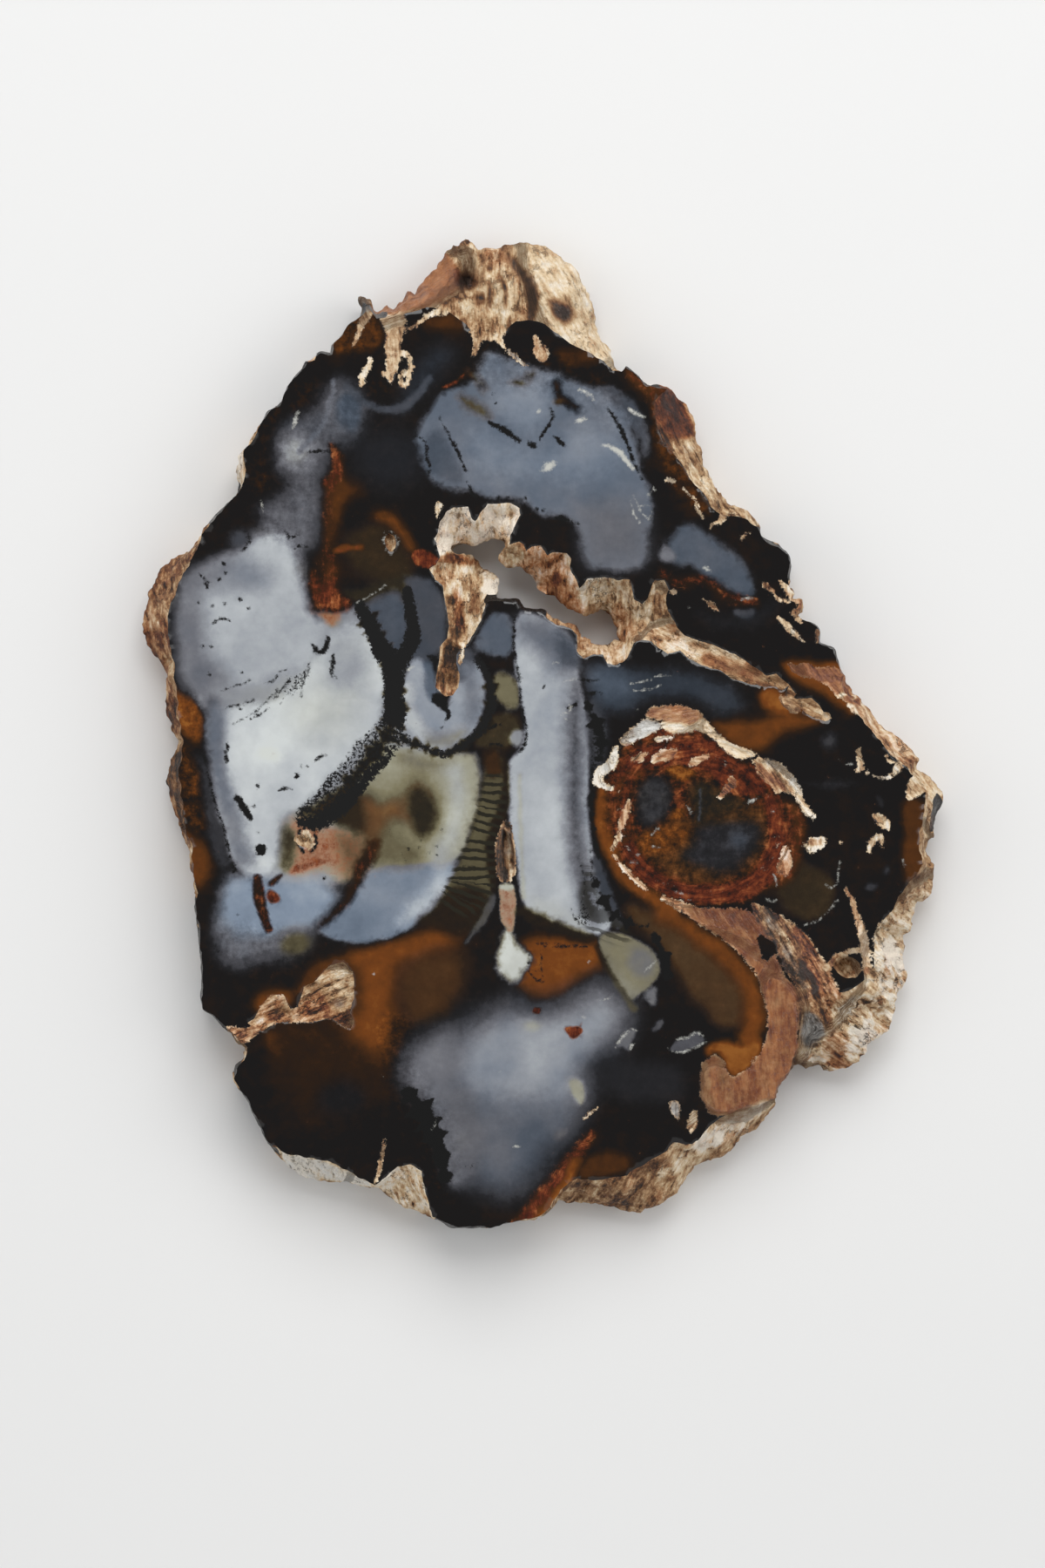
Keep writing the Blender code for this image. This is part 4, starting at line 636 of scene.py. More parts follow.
# The round knot
ROUND_KNOT = """
knot's ground: amber 0.42 rust 0.5; 1.2; 9,-8 10.5,-3 14,1 20,1.5 24,-0.5 28,-3.5 32,-5.5 34.8,-10
  35.6,-15.5 34.3,-20.5 30,-24.3 24,-25 18,-24 13.5,-21.3 10.3,-17.3 8.9,-13
halo left of knot: amber 0.85 rust 0.2; 1.2 0.6 1 1 0.9; 8.8,-7.5 8.3,-12 9,-16.5 11.5,-20.5 15,-23.5
  18.5,-25.3
knot's olive heart: smoke 0.2 0.62; 1.4; 15,-17 17,-20 22,-21.8 27,-20.7 31,-18 32.3,-14.5 31.6,-11
  29.5,-9.8 24,-12.3 18,-12
amber in heart: amber 0.72; 2.4; 14,-13.8 17,-13.2 21,-13 22.2,-14.4 19.4,-16 17,-17.8 14.4,-16.8
amber above heart: amber 0.95; 0.9 1.9 0.9 -10; 19.6,-5.6
amber right of heart: amber 0.95; 0.9 1.2 1.5 30; 29.7,-7.3
amber beside left oval: amber 0.85; 0.8; 17.5,-12.3 19,-10.5 20.3,-11.3 19.5,-12.5
left oval: milk 0.3 0.2; 2.4; 16,-5.3 18,-6.6 18.7,-9 17.8,-11.5 15.6,-13.5 13.6,-13.3 13,-10.5 13.7,-7.2
right oval: milk 0.25 0; 3; 22,-13 26,-12.2 30.5,-12.3 31.8,-14.8 29.5,-18 26,-20.3 22.5,-19.5 19.6,-17.5
  21.4,-15.6
right oval's glow: milk 0.4 -0.5; 1.8 1.5 1.4; 28,-15.2
black gap: smoke 0.2 0.2; 2.2; 20.5,-7.6 23,-6 26.5,-8.6 30.2,-9.6 28.5,-11 24,-12 22.6,-13.3 21.2,-12.6
  21,-10
grey streak in gap: milk 0.4 0; 0.5 0.2; 22.6,-8 22.4,-12.6
maroon: amber 0.25 rust 0.66; 1; 12,-2.8 17,-1.5 22,-0.6 25,-1.8 27.5,-4.3 31,-5.5 32.3,-8.3 30.4,-9 26,-9
  24.5,-5.4 20,-4.3 15,-5 12,-5.5
red ring: amber 0.3 rust 0.75; 1 0.9 0.9 1.1 1.3 1.4 1 0.6; 12.2,-16.5 15,-20.7 19.5,-22.8 25,-23.4 30,-22.3
  33.2,-18.6 33.6,-13.5 32.4,-9.5
pink flap: crust 0.5 0.95; 0.5; 33.4,-20 34,-17 35,-15.8 35.7,-18 35.6,-20.2 34.6,-20.6
orange dome: crust 0.56 0.6 feather 0.45; 0.5; 14.4,2.4 15.6,3.7 18,4.2 20.6,3.9 22.6,2.8 23.8,1.3 21.8,0.9
  18.5,1.2 16.4,1.9
dome's cream underside: crust 0.2 0.1 feather 0.8; 0.4; 16.2,1.9 18.5,1.4 21.4,1.1 22.7,2.4 24.6,0.6 26,-0.9
  28,-1.9 31,-2.9 30,-3.6 27.6,-3.7 25.8,-2.4 23.8,-0.2 21.8,0.6 19.5,-0.2 17.4,0.1
grey crust: crust 0.34 -0.8; 0.4; 10.6,-1.1 12.4,0.4 14.3,2.1 16.2,1.8 17.2,0.7 15,-0.4 13,-1.2 11.6,-2
cream ledge: crust 0.15 0.2; 0.4 0.35 0.2; 16.4,-0.9 18.6,-0.6
white curl: crust 0.04 -0.4; 0.4 0.5 0.8 0.8 0.5 0.3; 10.3,-2.4 10,-4.2 8.2,-5.4 7.6,-6.7 8.3,-7.6 9.9,-8
cream leaf: crust 0.1 0; 0.3 0.25 0.45 0.2; 12.7,-3.9 13.6,-3.7 14.7,-2.9
cream rhombus: crust 0.2 0.2; 0.4; 15.1,-4.5 15.8,-3 17.6,-2.1 19.6,-2.2 18.6,-3.5 17,-4.2
tan triangle: crust 0.42 0.5; 0.4; 21.3,-5 24.4,-3.2 22.6,-3.1 20.6,-4
rust in rhombus: tinted 0.6 1; 0.3 0.25; 16.4,-3.6 17.4,-2.8 18.6,-2.9
pink curls: crust 0.5 0.9; 0.4 0.3 0.5 0.3; 25.2,-9 26.4,-8.2 27.4,-7.2 26.8,-6.4
tan crest: crust 0.42 0.3; 0.4; 30,-3.6 32,-3.6 34.3,-4.3 36.3,-6.6 37.4,-8.9 36.6,-9.4 34.8,-8.2 33.4,-8.6
  31.6,-6.6 30.4,-5
crest's grey top: tinted 0.3 -0.5; 0.8 0.5 0.8 0.7 0.4; 31.8,-4 34.2,-5 36,-7.2 37,-9
crest's orange side: tinted 0.6 0.7; 0.6 0.6; 31,-5 33,-6.6 34.4,-7.7
crest's tail: crust 0.25 0.1; 0.4 0.5 0.5 0.6 0.3; 36.8,-9.4 37.6,-10.7 38.6,-11.9 38.7,-12.3
pink edge: crust 0.38 0.6; 0.3 0.2; 30.8,-5.4 32.2,-7 33.5,-8.2
cream splinter: crust 0.25 0.3; 0.4 0.3 0.6 0.4; 12.3,-9.8 11.6,-11.6 11,-13.8
grey splinter: crust 0.35 -0.3; 0.4 0.35 0.3 0.2; 11,-14.5 10.4,-15.8 9.9,-16.8
tan sliver: crust 0.45 0.6; 0.5 0.2 0.3 0.35 0.3; 10,-17.6 11,-18.8 12.6,-20.5 14.6,-22.3
pink sliver: crust 0.48 0.7; 0.6 0.3 0.7 0.8; 17.2,-23.6 20,-24.9 22.4,-26.3
mottling of knot: stir 0.7; 1.2; 9,-8 10.5,-3 14,1 20,1.5 24,-0.5 28,-3.5 32,-5.5 34.8,-10 35.6,-15.5
  34.3,-20.5 30,-24.3 24,-25 18,-24 13.5,-21.3 10.3,-17.3 8.9,-13
mottling of haze: stir 0.5; 3; -39,50 -22,52 -22,46 -27,42 -31,40 -32.4,34 -33.4,26 -42,29 -42,40
mottling of lower left smoke: stir 0.5; 3; -49,-27 -36,-27.5 -32,-33 -47,-36
mottling of lobe's edge: stir 0.5; 3 2.4; -21,-43 -20,-50 -15,-56 -14,-64
mottling at brow of lobe: stir 0.4; 2; -14,50 -8,56 6,52 14,48 15,40 8,46 -4,50
crumbs of knot's rim: tinted 0.4 0.7 flecks 0.5; 2 1 1 1; 31.5,-7.5 33.6,-12 33.4,-17 30.5,-21.3 25,-23
  19.5,-22.6 15,-20.6 11.8,-16.6 10.8,-12 11.5,-7 13.5,-3.5 18,-1.8 24,-2.6 28,-5.5
crumbs of rust: flecks 0.16; 2 1; -26,31.5 -20,29.8 -17,25.5
"""

# Flows of caramel and fibrous stone
CARAMEL_AND_FIBRES = """
caramel band: crust 0.67 0.72 feather 0.35; 0.7; 19.5,-24.6 24,-25.3 29,-25 31.5,-27.4 33,-31 34,-34
  36.5,-37 37.3,-40 36.4,-44 36.6,-48 34.4,-51 33,-53.2 28,-54.3 24.3,-55.2 22.6,-52.5 22.3,-48.6 23.4,-46.5
  24.9,-46 25.9,-47.2 26.8,-49.4 28,-49.3 30.3,-47 32,-44.2 32.2,-40 31.4,-37 30.2,-33.6 26,-29.6 21,-26.6
band's paler edge: tinted 0.69 0.5; 1 0.7 0.8 0.6; 25.6,-47.4 26,-51 27.5,-53.5
band's dark left side: tinted 0.7 0; 1 0.6 0.7 0.6; 23.2,-47.6 23,-51.5 24.4,-54.5
band's brown heart: tinted 0.63 0.8; 2 0.9 0.8 0.7; 34,-38 33.8,-44 30,-50
pink flow: tinted 0.77 0.75 feather 0.4; 1.5; 19.5,-24.4 24,-24.9 29.5,-24.6 31.5,-28 28,-28.3 24,-27.3
fibrous tongue: crust 0.64 0.5 feather 1.3; 0.5; 29.5,-24.2 31,-24.6 33.5,-26 36.4,-27.6 38.4,-29.4
  39.6,-31.8 41,-33.5 42,-36 43,-38 42,-41 40.5,-44 37,-44 36.4,-40 36.5,-36.6 34.6,-33.6 33,-30.4 31,-27.6
tongue's grey strands: tinted 0.6 -0.3; 0.8 0.5 0.8 0.7 0.6; 31.5,-25.3 33.5,-28.5 35.6,-32.5 37.4,-36.5
tongue's red strands: tinted 0.62 1; 0.8 0.8 0.8 0.5 0.5; 36.8,-28.4 38,-31 38.6,-34 40,-37.5
tongue's orange tip: tinted 0.5 0.8; 0.6 0.6; 39,-33 40.6,-35 42.2,-37
tongue's dark gaps: tinted 1 0.3; 0.5 0.35 0.5 0.3; 38.2,-34.5 39,-37 40,-40
window in band: window; 0.4; 30.6,-29.2 31.6,-29 33.6,-30.2 33.4,-31.6 32,-33.2 31,-31.4
cream strand: crust 0.36 0.4; 0.4 0.15 0.3 0.5 0.7 0.6 0.7; 43.4,-22.3 44.4,-24.3 45.2,-26.6 45.8,-29
  46.3,-31.5 46.6,-35
bridge over pocket: crust 0.4 0.4; 0.4 0.6 0.4 0.3 0.3; 41,-33.5 41.8,-32.2 43.6,-31.4 45.5,-31
rind beyond pocket: crust 0.3 0.1; 0.5; 47.5,-27.5 50.5,-25.5 52.5,-22 54,-24 53,-29 52,-37 47,-37
  45.5,-36.4 47.4,-33 47.6,-30
black in that rind: window; 0.4; 47.4,-29.5 48.7,-29 49,-31.5 48,-34.3 47,-33.4 47.6,-31.5
"""

# Small islands of crust
CRUST_ISLANDS = """
tongue, upper left: crust 0.36 0.2; 0.4; -22.8,61.5 -20.8,60.8 -19.5,59.5 -20.2,56.8 -20.5,54.6 -20.8,52.4
  -21.7,50.2 -22.5,50.4 -22.4,52.5 -22.8,55 -22.6,57.5 -23.6,59.5
ring on tongue: crust 0.3 0; 0.3 0.35 0.35 0.3 0.3 0.3; -20.3,54.5 -19.2,54 -19,52.4 -19.4,50.2 -20.4,49.8
  -20.5,51.2 -19.8,52
small ring: crust 0.34 0.2; 0.3 0.35 0.5 0.4 0.3; -26.2,50 -26,51.4 -25,52.6 -24.8,53.6
streak, upper left: crust 0.4 0.3; 0.4 0.7 0.5 0.35 0.2; -25.2,60.5 -26,58.8 -26.7,57.2 -27.3,55.8
chip under it: crust 0.45 0.3; 0.3 0.25; -22.9,51.6 -22.5,51 -21.8,50.5
skin under knob: crust 0.38 0.1; 0.4 0.15 0.25 0.3 0.7; -19.2,58 -17.6,59 -16.3,60.2 -14.3,60.8
cream drip: crust 0.34 0.1; 0.4; -12.5,61 -10.4,58.8 -10.2,56.5 -10,55 -10.5,53.3 -9.6,54.8 -8.8,56.4
  -7.4,56.3 -6.2,55.8 -4.7,54.4 -6,56.6 -5,58.4 -6.5,60.5 -9,61.5
tan lump, top: crust 0.42 0.4; 0.3; -1.2,57.5 -0.5,55.8 0.6,55.4 0.7,53.6 -0.4,53.1 -1.3,54.2 -1.5,55.6
grey claw: crust 0.5 -0.7; 0.3 0.2 0.35 0.3; -5.2,55 -3.8,53.8 -2.6,52.9
white speck over tuft: crust 0.1 -0.3; 0.3; -15.7,33 -14.7,33.2 -14.5,32.6 -15,31.8 -15.3,30.6 -15.6,31.5
dark round small pit: smoke 0.12 0.2; 1 1.2 2 14; -22,27.3
right-hand streak: crust 0.22 0.1; 0.3 0.25 0.5 0.35 0.15; 33.8,16.5 35,15.2 36.2,14.2 37.4,13.2
brown lobed edge: crust 0.62 0.5; 0.4 0.3 0.8 0.6 0.4 0.2; 34.8,20.4 36.5,19.4 37.2,18.4 36.4,17.7 35.6,17.2
tan wisp under it: crust 0.34 0.2; 0.3 0.15 0.25 0.3; 35.6,17.3 36.2,16.6 37.2,16.1
brown lump, right: crust 0.66 0.3; 0.4; 38.8,14.8 40.3,15 40.4,13.2 39,12.8
tan fleck, right: crust 0.5 0.4; 0.3 0.3 0.3 0.15; 31.7,21.4 32.4,20.9 33.3,20.3
tan fleck, edge: crust 0.4 0.2; 0.3 0.25 0.4 0.4; 34,21.6 35.2,20.6 36.2,20
tan fleck below: crust 0.34 0.1; 0.3 0.2 0.3 0.2; 33.4,19.6 34.4,19.1 35,18.9
tan streak by patch: crust 0.4 0.4; 0.3 0.15 0.3 0.15; 23,19.2 24,18.6 25.1,17.6
bead: crust 0.32 0.2; 0.3 0.5 0.5; 18.6,20.2
cream thread: crust 0.25 0.1; 0.25 0.12 0.16 0.2 0.2; 20,35 21.3,34.2 22,32.5 22.7,30.8
cream thread, right: crust 0.25 0.1; 0.25 0.15 0.2 0.12; 28.4,27.8 28.8,28.8 29.6,28.9
rim drip: crust 0.34 0.2; 0.3 0.2 0.25 0.35 0.5; 24,29.4 24.3,30.2 25.4,30.2 26,31.4
chip on rim: crust 0.34 0.2; 0.3 0.3; 17.9,36.3 18.6,36.2
branching skin: crust 0.36 -0.2; 0.3 0.15 0.2 0.3 0.3; 16.6,41.8 17.6,41.2 18.3,41 19.4,39.8
lumps on shoulder: crust 0.66 1 feather 0.6; 1.2; 35,10 36.2,9.4 37.6,9.9 39.4,9.2 42,9.4 43.6,8 43.8,6.6
  45.4,4.6 44.4,2.6 43.2,4.6 41.4,6.2 39.4,7.6 37.4,7.9 36,8
cream on shoulder: crust 0.15 0.2; 0.3 0.3 0.25 0.15; 42.8,5.4 43.6,5.8 44.2,6.2
cream below it: crust 0.15 0.2; 0.3 0.35 0.4 0.2; 43.8,4.2 44.6,3.8 45.2,2.8
brown over vein: crust 0.5 0.4; 1; 33.5,5.6 35.6,5.3 37.4,4 36.6,2.8 34.8,3.2
shell arc: crust 0.4 -0.2; 0.3 0.3 0.35 0.5 0.3; 45.3,-2.4 45.4,-3.6 45.7,-4.8 45.2,-5.3
ring arc: crust 0.34 -0.4; 0.3 0.15 0.2 0.25 0.35 0.5; 46.4,-5.6 48,-6.5 49.8,-6.4 50.7,-5.4 51,-4.4
ring arc, upper: crust 0.36 0; 0.3 0.12 0.2 0.2; 49,-3.2 49.6,-4 50.5,-4.2
cream leaf, right: crust 0.22 -0.1; 0.3; 46.9,-11.2 48.2,-11.6 49.4,-12.2 50.2,-14.1 48.6,-13.8 47.6,-12.8
cream hook, right: crust 0.25 -0.2; 0.3 0.2 0.3 0.4 0.45 0.3; 48.7,-16.4 48.8,-15.3 48,-14.8 46.9,-15.6
  46.8,-17.2
cream star: crust 0.06 0; 0.3; 36.8,-16 38,-15.5 38.3,-14.7 39.3,-14.9 40.6,-14.7 40.4,-16.4 39.5,-16.6
  38.6,-17.5 37.9,-16.5
star's orange heart: crust 0.58 0.5; 0.5 1 0.55; 39,-15.7
white dot: crust 0.1 0; 0.2 0.25 0.2; 42.8,-15.7
twig, bottom: crust 0.5 0.2; 0.3 0.15 0.3 0.3 0.25; -22.7,-58.4 -23.1,-60.5 -23.6,-62.5 -24,-64.3
tan chip, bottom: crust 0.3 0.1; 0.3; 21.9,-53.8 22.4,-55.2 21.8,-57.4 20.4,-57 20.7,-55.4
grey chip, bottom: crust 0.62 -0.8; 0.4; 18.4,-52.5 19.4,-53 19.6,-55.8 18.6,-54.8 18,-53.6
flake: milk 0.66 0.15; 0.4; 10.3,-45.2 11.3,-43.6 12.6,-42.4 13.4,-42.6 12.7,-44.4 12.2,-45.8 11.4,-45
flake, right: milk 0.56 0.1; 0.4; 17.8,-45.2 19,-44 20.6,-43.8 21.8,-42.6 23,-43.4 23.3,-44.4 21.5,-45.2
  19.5,-46.1
white slash: crust 0.1 -0.5; 0.25 0.12 0.22 0.12; 5.9,-55.4 6.8,-54.5 7.7,-53.9
cream flame: milk 1.3 0.8; 1.3; -5.8,-28.2 -4.2,-28.6 -3.2,-30.6 -2,-31.8 -2.3,-34 -3.9,-36.6 -5.4,-35.4
  -6.9,-33.4 -6.2,-31
plug: milk 1 1 rust 0.34; 0.4; -6.4,-21.7 -4.2,-21.7 -3.8,-24.5 -4.1,-27.5 -4.8,-29 -6,-27.4 -6.4,-24.4
plug's cream head: milk 1.15 0.9; 0.4; -6.4,-21.6 -4.2,-21.5 -4.2,-22.5 -6.3,-22.5
crystals in slit: crust 0.9 -0.2; 0.4; -5.5,-12.3 -4.3,-13.4 -4,-17 -4.1,-21.4 -6.6,-21.5 -7,-18 -6.8,-15
  -6,-13.2
glints in slit: tint 0.45; 0.4 0.25 0.2 0.3; -5.6,-13.4 -4.9,-15.5 -4.9,-19 -4.7,-21
grey strand by plug: milk 0.5 0.3; 0.8 0.4 0.6 0.5 0.2; -7.2,-23.4 -8,-25.6 -9.4,-27.8 -11,-30
crack's crust: crust 0.42 0.65 feather 1.3; 0.5; -45.8,-41.9 -42.5,-42.4 -41,-41.2 -40.8,-39.6 -39.6,-38.2
  -37.4,-37.3 -37.2,-38.4 -38.6,-39.6 -38.8,-40.6 -36.5,-40 -35,-39.2 -33,-37.4 -32.5,-36.4 -31,-38.4
  -29,-40.4 -27.2,-42.6 -28.6,-42.4 -30.4,-40.6 -33.6,-41.6 -38.6,-41.4 -41,-42.8 -43.5,-45.2 -45.5,-43.6
"""

# Tints of the rough rind. The knob's pit, hollow and creases and the lump's black pit are near-black tints:
# painted shade in these recesses.
RIND_TINTS = """
knob's pale lump: tinted 0.27 0.05 feather 0.7; 1.2; -4,72 3,72 9,64 11,54 9,51 5,55 1,57 -2.5,63 -5,68
knob's pit: tinted 1 0.2 feather 0.2; 0.9 2.1 1.2 8; -11.2,65.1
knob's hollow: tinted 0.97 0.3 feather 0.3; 1.5; 0.5,62.5 2.5,62 5,60.5 4,58.6 1.5,59
knob's seam: tinted 0.93 0 feather 0.4; 0.9 0.4 0.7 0.9 0.9 0.7; -5.5,69 -3.6,66.8 -2,64.5 -1.5,62 -1.7,60
knob's cream middle: tinted 0.27 0.05 feather 0.85; 1.2; -8,66 -4.5,66 -3,64 -3,61 -7,59 -13,61 -11,63.3
  -9,64
knob's left slope: tinted 0.57 1.25 feather 0.3; 1.2; -25,60.6 -20,60.6 -15,61.6 -12.2,63.8 -12.4,68 -14,70
  -20,64.8 -24,62.6
knob's pink top: tinted 0.45 0.5; 1.2; -9,70.5 -5.5,70.5 -4.5,67.5 -6.5,66.5 -8.5,68
knob's long crease: tinted 0.9 0.2 feather 0.5; 0.5 0.2 0.35 0.3 0.2; -9.6,70.4 -8.6,67.6 -6.6,66 -5.2,64
  -5.4,61.4
knob's cross crease: tinted 0.88 0.2 feather 0.5; 0.5 0.2 0.35 0.2; -14,61.6 -11,63 -8.4,62.4 -6.4,63.2
knob's short crease: tinted 0.85 0.1 feather 0.5; 0.5 0.2 0.3 0.2; -9.4,66.6 -7.6,64.4 -7.8,60.6
spur: tinted 0.5 -0.6; 0.8 1.5 1.5; -25.7,61.8
white rind, upper left: tinted 0.24 0.3; 1 1.3; -42.3,42.5 -43.6,39.8 -44.2,37
pink rind, top left: tinted 0.4 0.6; 0.8 1.8 1.2 40; -33.6,54
left rind: tinted 0.63 0.55; 1 2; -52.5,26 -57,20 -57.3,13 -55,5 -54.3,-2 -53.8,-8 -52.6,-14
left rind's pale foot: tinted 0.6 0.6; 1.5; -58.5,17.5 -54,17 -53,13 -54,10.5 -58.5,12
left rind's brown middle: tinted 0.66 0.4; 1.2; -56.5,20.5 -53,20.5 -53.5,17.5 -57,17.6
left rind's dark foot: tinted 0.92 0.2; 1.2 1.3 1.5 1.2; -53.2,-3 -52.8,-8 -51.8,-13
white slope: tinted -0.12 -0.45 feather 0.9; 1 1.3 1.6 1.4 0.6; -37.6,-61.4 -34,-62.4 -30,-63.4 -25.5,-65
cream tuft: tinted 0.2 0.15 feather 1.25; 1; -24.5,-65 -20.2,-60.8 -17,-62.5 -16.2,-69.8 -20,-69.5 -24,-67
bottom rind's dark seam: tinted 0.85 0; 0.6 0.3 0.5 0.3; 9,-66.5 12.5,-66.8 15,-65.4
bottom rind: tinted 0.63 0.2; 1.2 1.4 2.2 2.4 1.4; 3,-66 10,-66 17,-63 20.5,-60.5
bottom rind's pale middle: tinted 0.34 0.25; 1 1.3 1.6 1.5; 17.6,-62.8 20.5,-61.3 23,-59.6
bottom rind's cream end: tinted 0.12 0.4; 1.2 1.6 1.8 1.4; 23,-59.5 27,-57 31.5,-54
lower right rind: tinted 0.05 0.35 feather 1.3; 1.6 2.6 2.6 2.4 2.2 2; 40,-46 45.5,-45 48.5,-41 50,-36
  51,-31
yellow in that rind: tinted 0.2 0.2; 1.4 1.2 2.2 -20; 48.7,-39.5
tan in that rind: tinted 0.4 0.6; 1.3 2.4 1.7 30; 42,-45.2
dark feathers: tinted 0.42 -0.2 feather 1.6; 1.2; 42,-38.5 46.5,-37.6 47,-39.5 45,-42 42.5,-43.5 41.8,-41
grey fold: tinted 0.5 -0.8; 1.2; 37.2,-39.5 40,-40.5 41,-43.5 38.6,-46 36.6,-44.5 36.8,-41.5
pink foot: tinted 0.42 0.8; 0.8 1.3 1 20; 41.2,-47.8
right rind, low: tinted 0.4 0.3; 1.2 2 1.6 1.6; 52,-28 53.5,-24.5 55.5,-21
yellow patch: tinted 0.42 0.1; 0.8; 51.8,-9.4 52.2,-6.6 54,-5 55.4,-6.2 54.8,-8.6 52.8,-9.8
yellow patch's face: crust; 0.8; 52,-9.2 52.4,-6.8 54,-5.4 56,-6.2 54.8,-8.4 52.8,-9.8
right rind: tinted 0.46 0.45; 1 1.3 1.4 1.2; 52.8,-3.6 49,-0.6 46,3
upper right rind: tinted 0.46 -0.05; 1.2 1.4 2 2 1.8; 29.5,31 25.5,32.6 23,36.5 21,40
brown rind, top right: tinted 0.86 1.3 feather 0.7; 1.6; 14.5,50.5 19,50.5 22,46 22.5,42.6 19,42.3 16.2,44
  15.4,48
brown edge of that rind: tinted 0.85 0.5 feather 1; 0.9 0.9 1.1 0.9 0.5; 16.4,43.6 17.2,41 18.2,38.6
  19.6,36.6
cream at knob's foot: tinted 0.24 0.1; 0.6 0.9 0.7 0.5; 8.6,55 9.6,53.3 9.3,52
upper tuft: tinted 0.07 0.3 feather 0.85; 1.2; -17,26 -15.6,31.5 -12,33.6 -5,34 -2.6,32 -4.6,27.4 -12,26.4
  -15,24.6
middle tuft: tinted 0.28 0.95; 0.8; -7,25 -5,28 -2,26.8 0,27.6 1,25 2.4,28 4,27 4,23.4 5.4,20.8 6.6,16.6
  0,19.6 -3.4,23.6
middle tuft's dark foot: tinted 0.6 0.9; 1; -1.5,21.4 1,23.4 3.4,22.2 5.4,19 6.4,16.6 0,19.4
middle tuft's cream left: tinted 0.32 0.2; 1 1.7 1.8; -4.4,26
cream tips: tinted 0.24 0.2; 0.5 0.5 0.35 0.3; 2.4,27.6 3.2,26 3.7,24.4
right tuft: tinted 0.34 -0.15; 0.8; 5,18.5 5.2,21 7.6,23 12.6,23 13.4,19 15.2,20 16.8,22.6 18.6,20 19.6,15.6
  13,16 10.4,18.6
right tuft's grey edge: tinted 0.22 -0.5; 0.8 0.5 0.7 0.5; 5.5,20.8 7,22.3 9,22.4
right tuft's orange foot: tinted 0.52 0.6; 0.9; 9.6,18 11,19.4 12.6,17 13.4,14.4 11,13 10.2,15.4
right tuft's dark side: tinted 0.7 0.05 feather 1.2; 0.9; 15.4,19.4 16.2,21.2 17.8,21.4 18.8,19.4 19.2,16.8
  17,16.6 15.6,17.2
lower lip: tinted 0.48 0.45; 0.8 0.8 0.7 0.9 1 1.4; 0.6,17 3.6,15.6 5.5,13.4 7,12 10,11.6 12,11.4
vein's start: tinted 0.32 0.35; 1; 12.4,12.8 14,15.6 18,16 21,14.4 24.6,13.2 24,10.2 18,11.4 15,13.4
vein's middle: tinted 0.62 0.6 feather 0.6; 0.8 1.1 1.2 0.8; 23.8,10.6 27.5,9.6 31.4,7.8
vein's cream edge: tinted 0.26 0.2; 0.6 0.6 0.6 0.3; 22.4,12.6 25.8,11.8 28.6,10.4
vein's end: tinted 0.46 0.05; 0.8 1 1.1 1.2 0.8 0.6; 32,8 35,6 37,4.2 40,2.8 42,2.6
yellow lump: tinted 0.42 0.12 feather 1.1; 0.8; -18,23.6 -12,24.4 -8.4,23.4 -8,18 -9.6,14.6 -11.4,12
  -12.6,15 -14.6,17.6 -14.6,21.4
yellow lump's gold: tinted 0.56 0.4; 0.8; -17,23.4 -13,24 -12.2,21.5 -13.4,20 -14.8,21.4
lump's rust streak: tinted 0.68 0.9; 0.5 0.5 0.6 0.6; -12.6,20.6 -12.2,18.5 -12,15.2
maroon strip: tinted 0.68 1; 0.6 0.5 0.7 0.5; -14.6,25 -12,25.2 -9.6,24.8
white piece: tinted 0.1 0.2; 0.6; -8.8,23.8 -6.4,22.6 -6.4,19.4 -8,19.4 -8.4,21.4
lump's black pit: tinted 1 0; 0.4 0.5 0.8; -13.3,19
brown strip: tinted 0.9 0.1; 0.9 1.1 1.4 1.4; -12.6,14.2 -13.2,11 -13.6,8
strip's tan end: tinted 0.5 0.6; 0.4 0.4 0.5 0.4; -15.2,6.6 -14,5.9 -12.5,5.6
white chips: crust 0.04 -0.2; 0.3 0.3 0.2 0.35 0.2; -11.5,12.8 -11.6,12 -11.9,10.6 -12,10
lip's white edge: tinted 0.2 0.2; 0.3 0.4 0.35 0.3; -8.2,17 -9.2,15 -10.4,13.4 -11.6,12.6
crack, pale lump: tinted 0.34 0.3; 1; -31,-33.5 -27.6,-33.8 -27.4,-38.4 -29.4,-39.8 -31,-38
crack, grey stones: tinted 0.55 -0.4; 0.8 1.4 0.9; -29.3,-38.6
crack's mouth: tinted 0.3 0.2; 0.8 1 1.4; -42.4,-46.2
"""

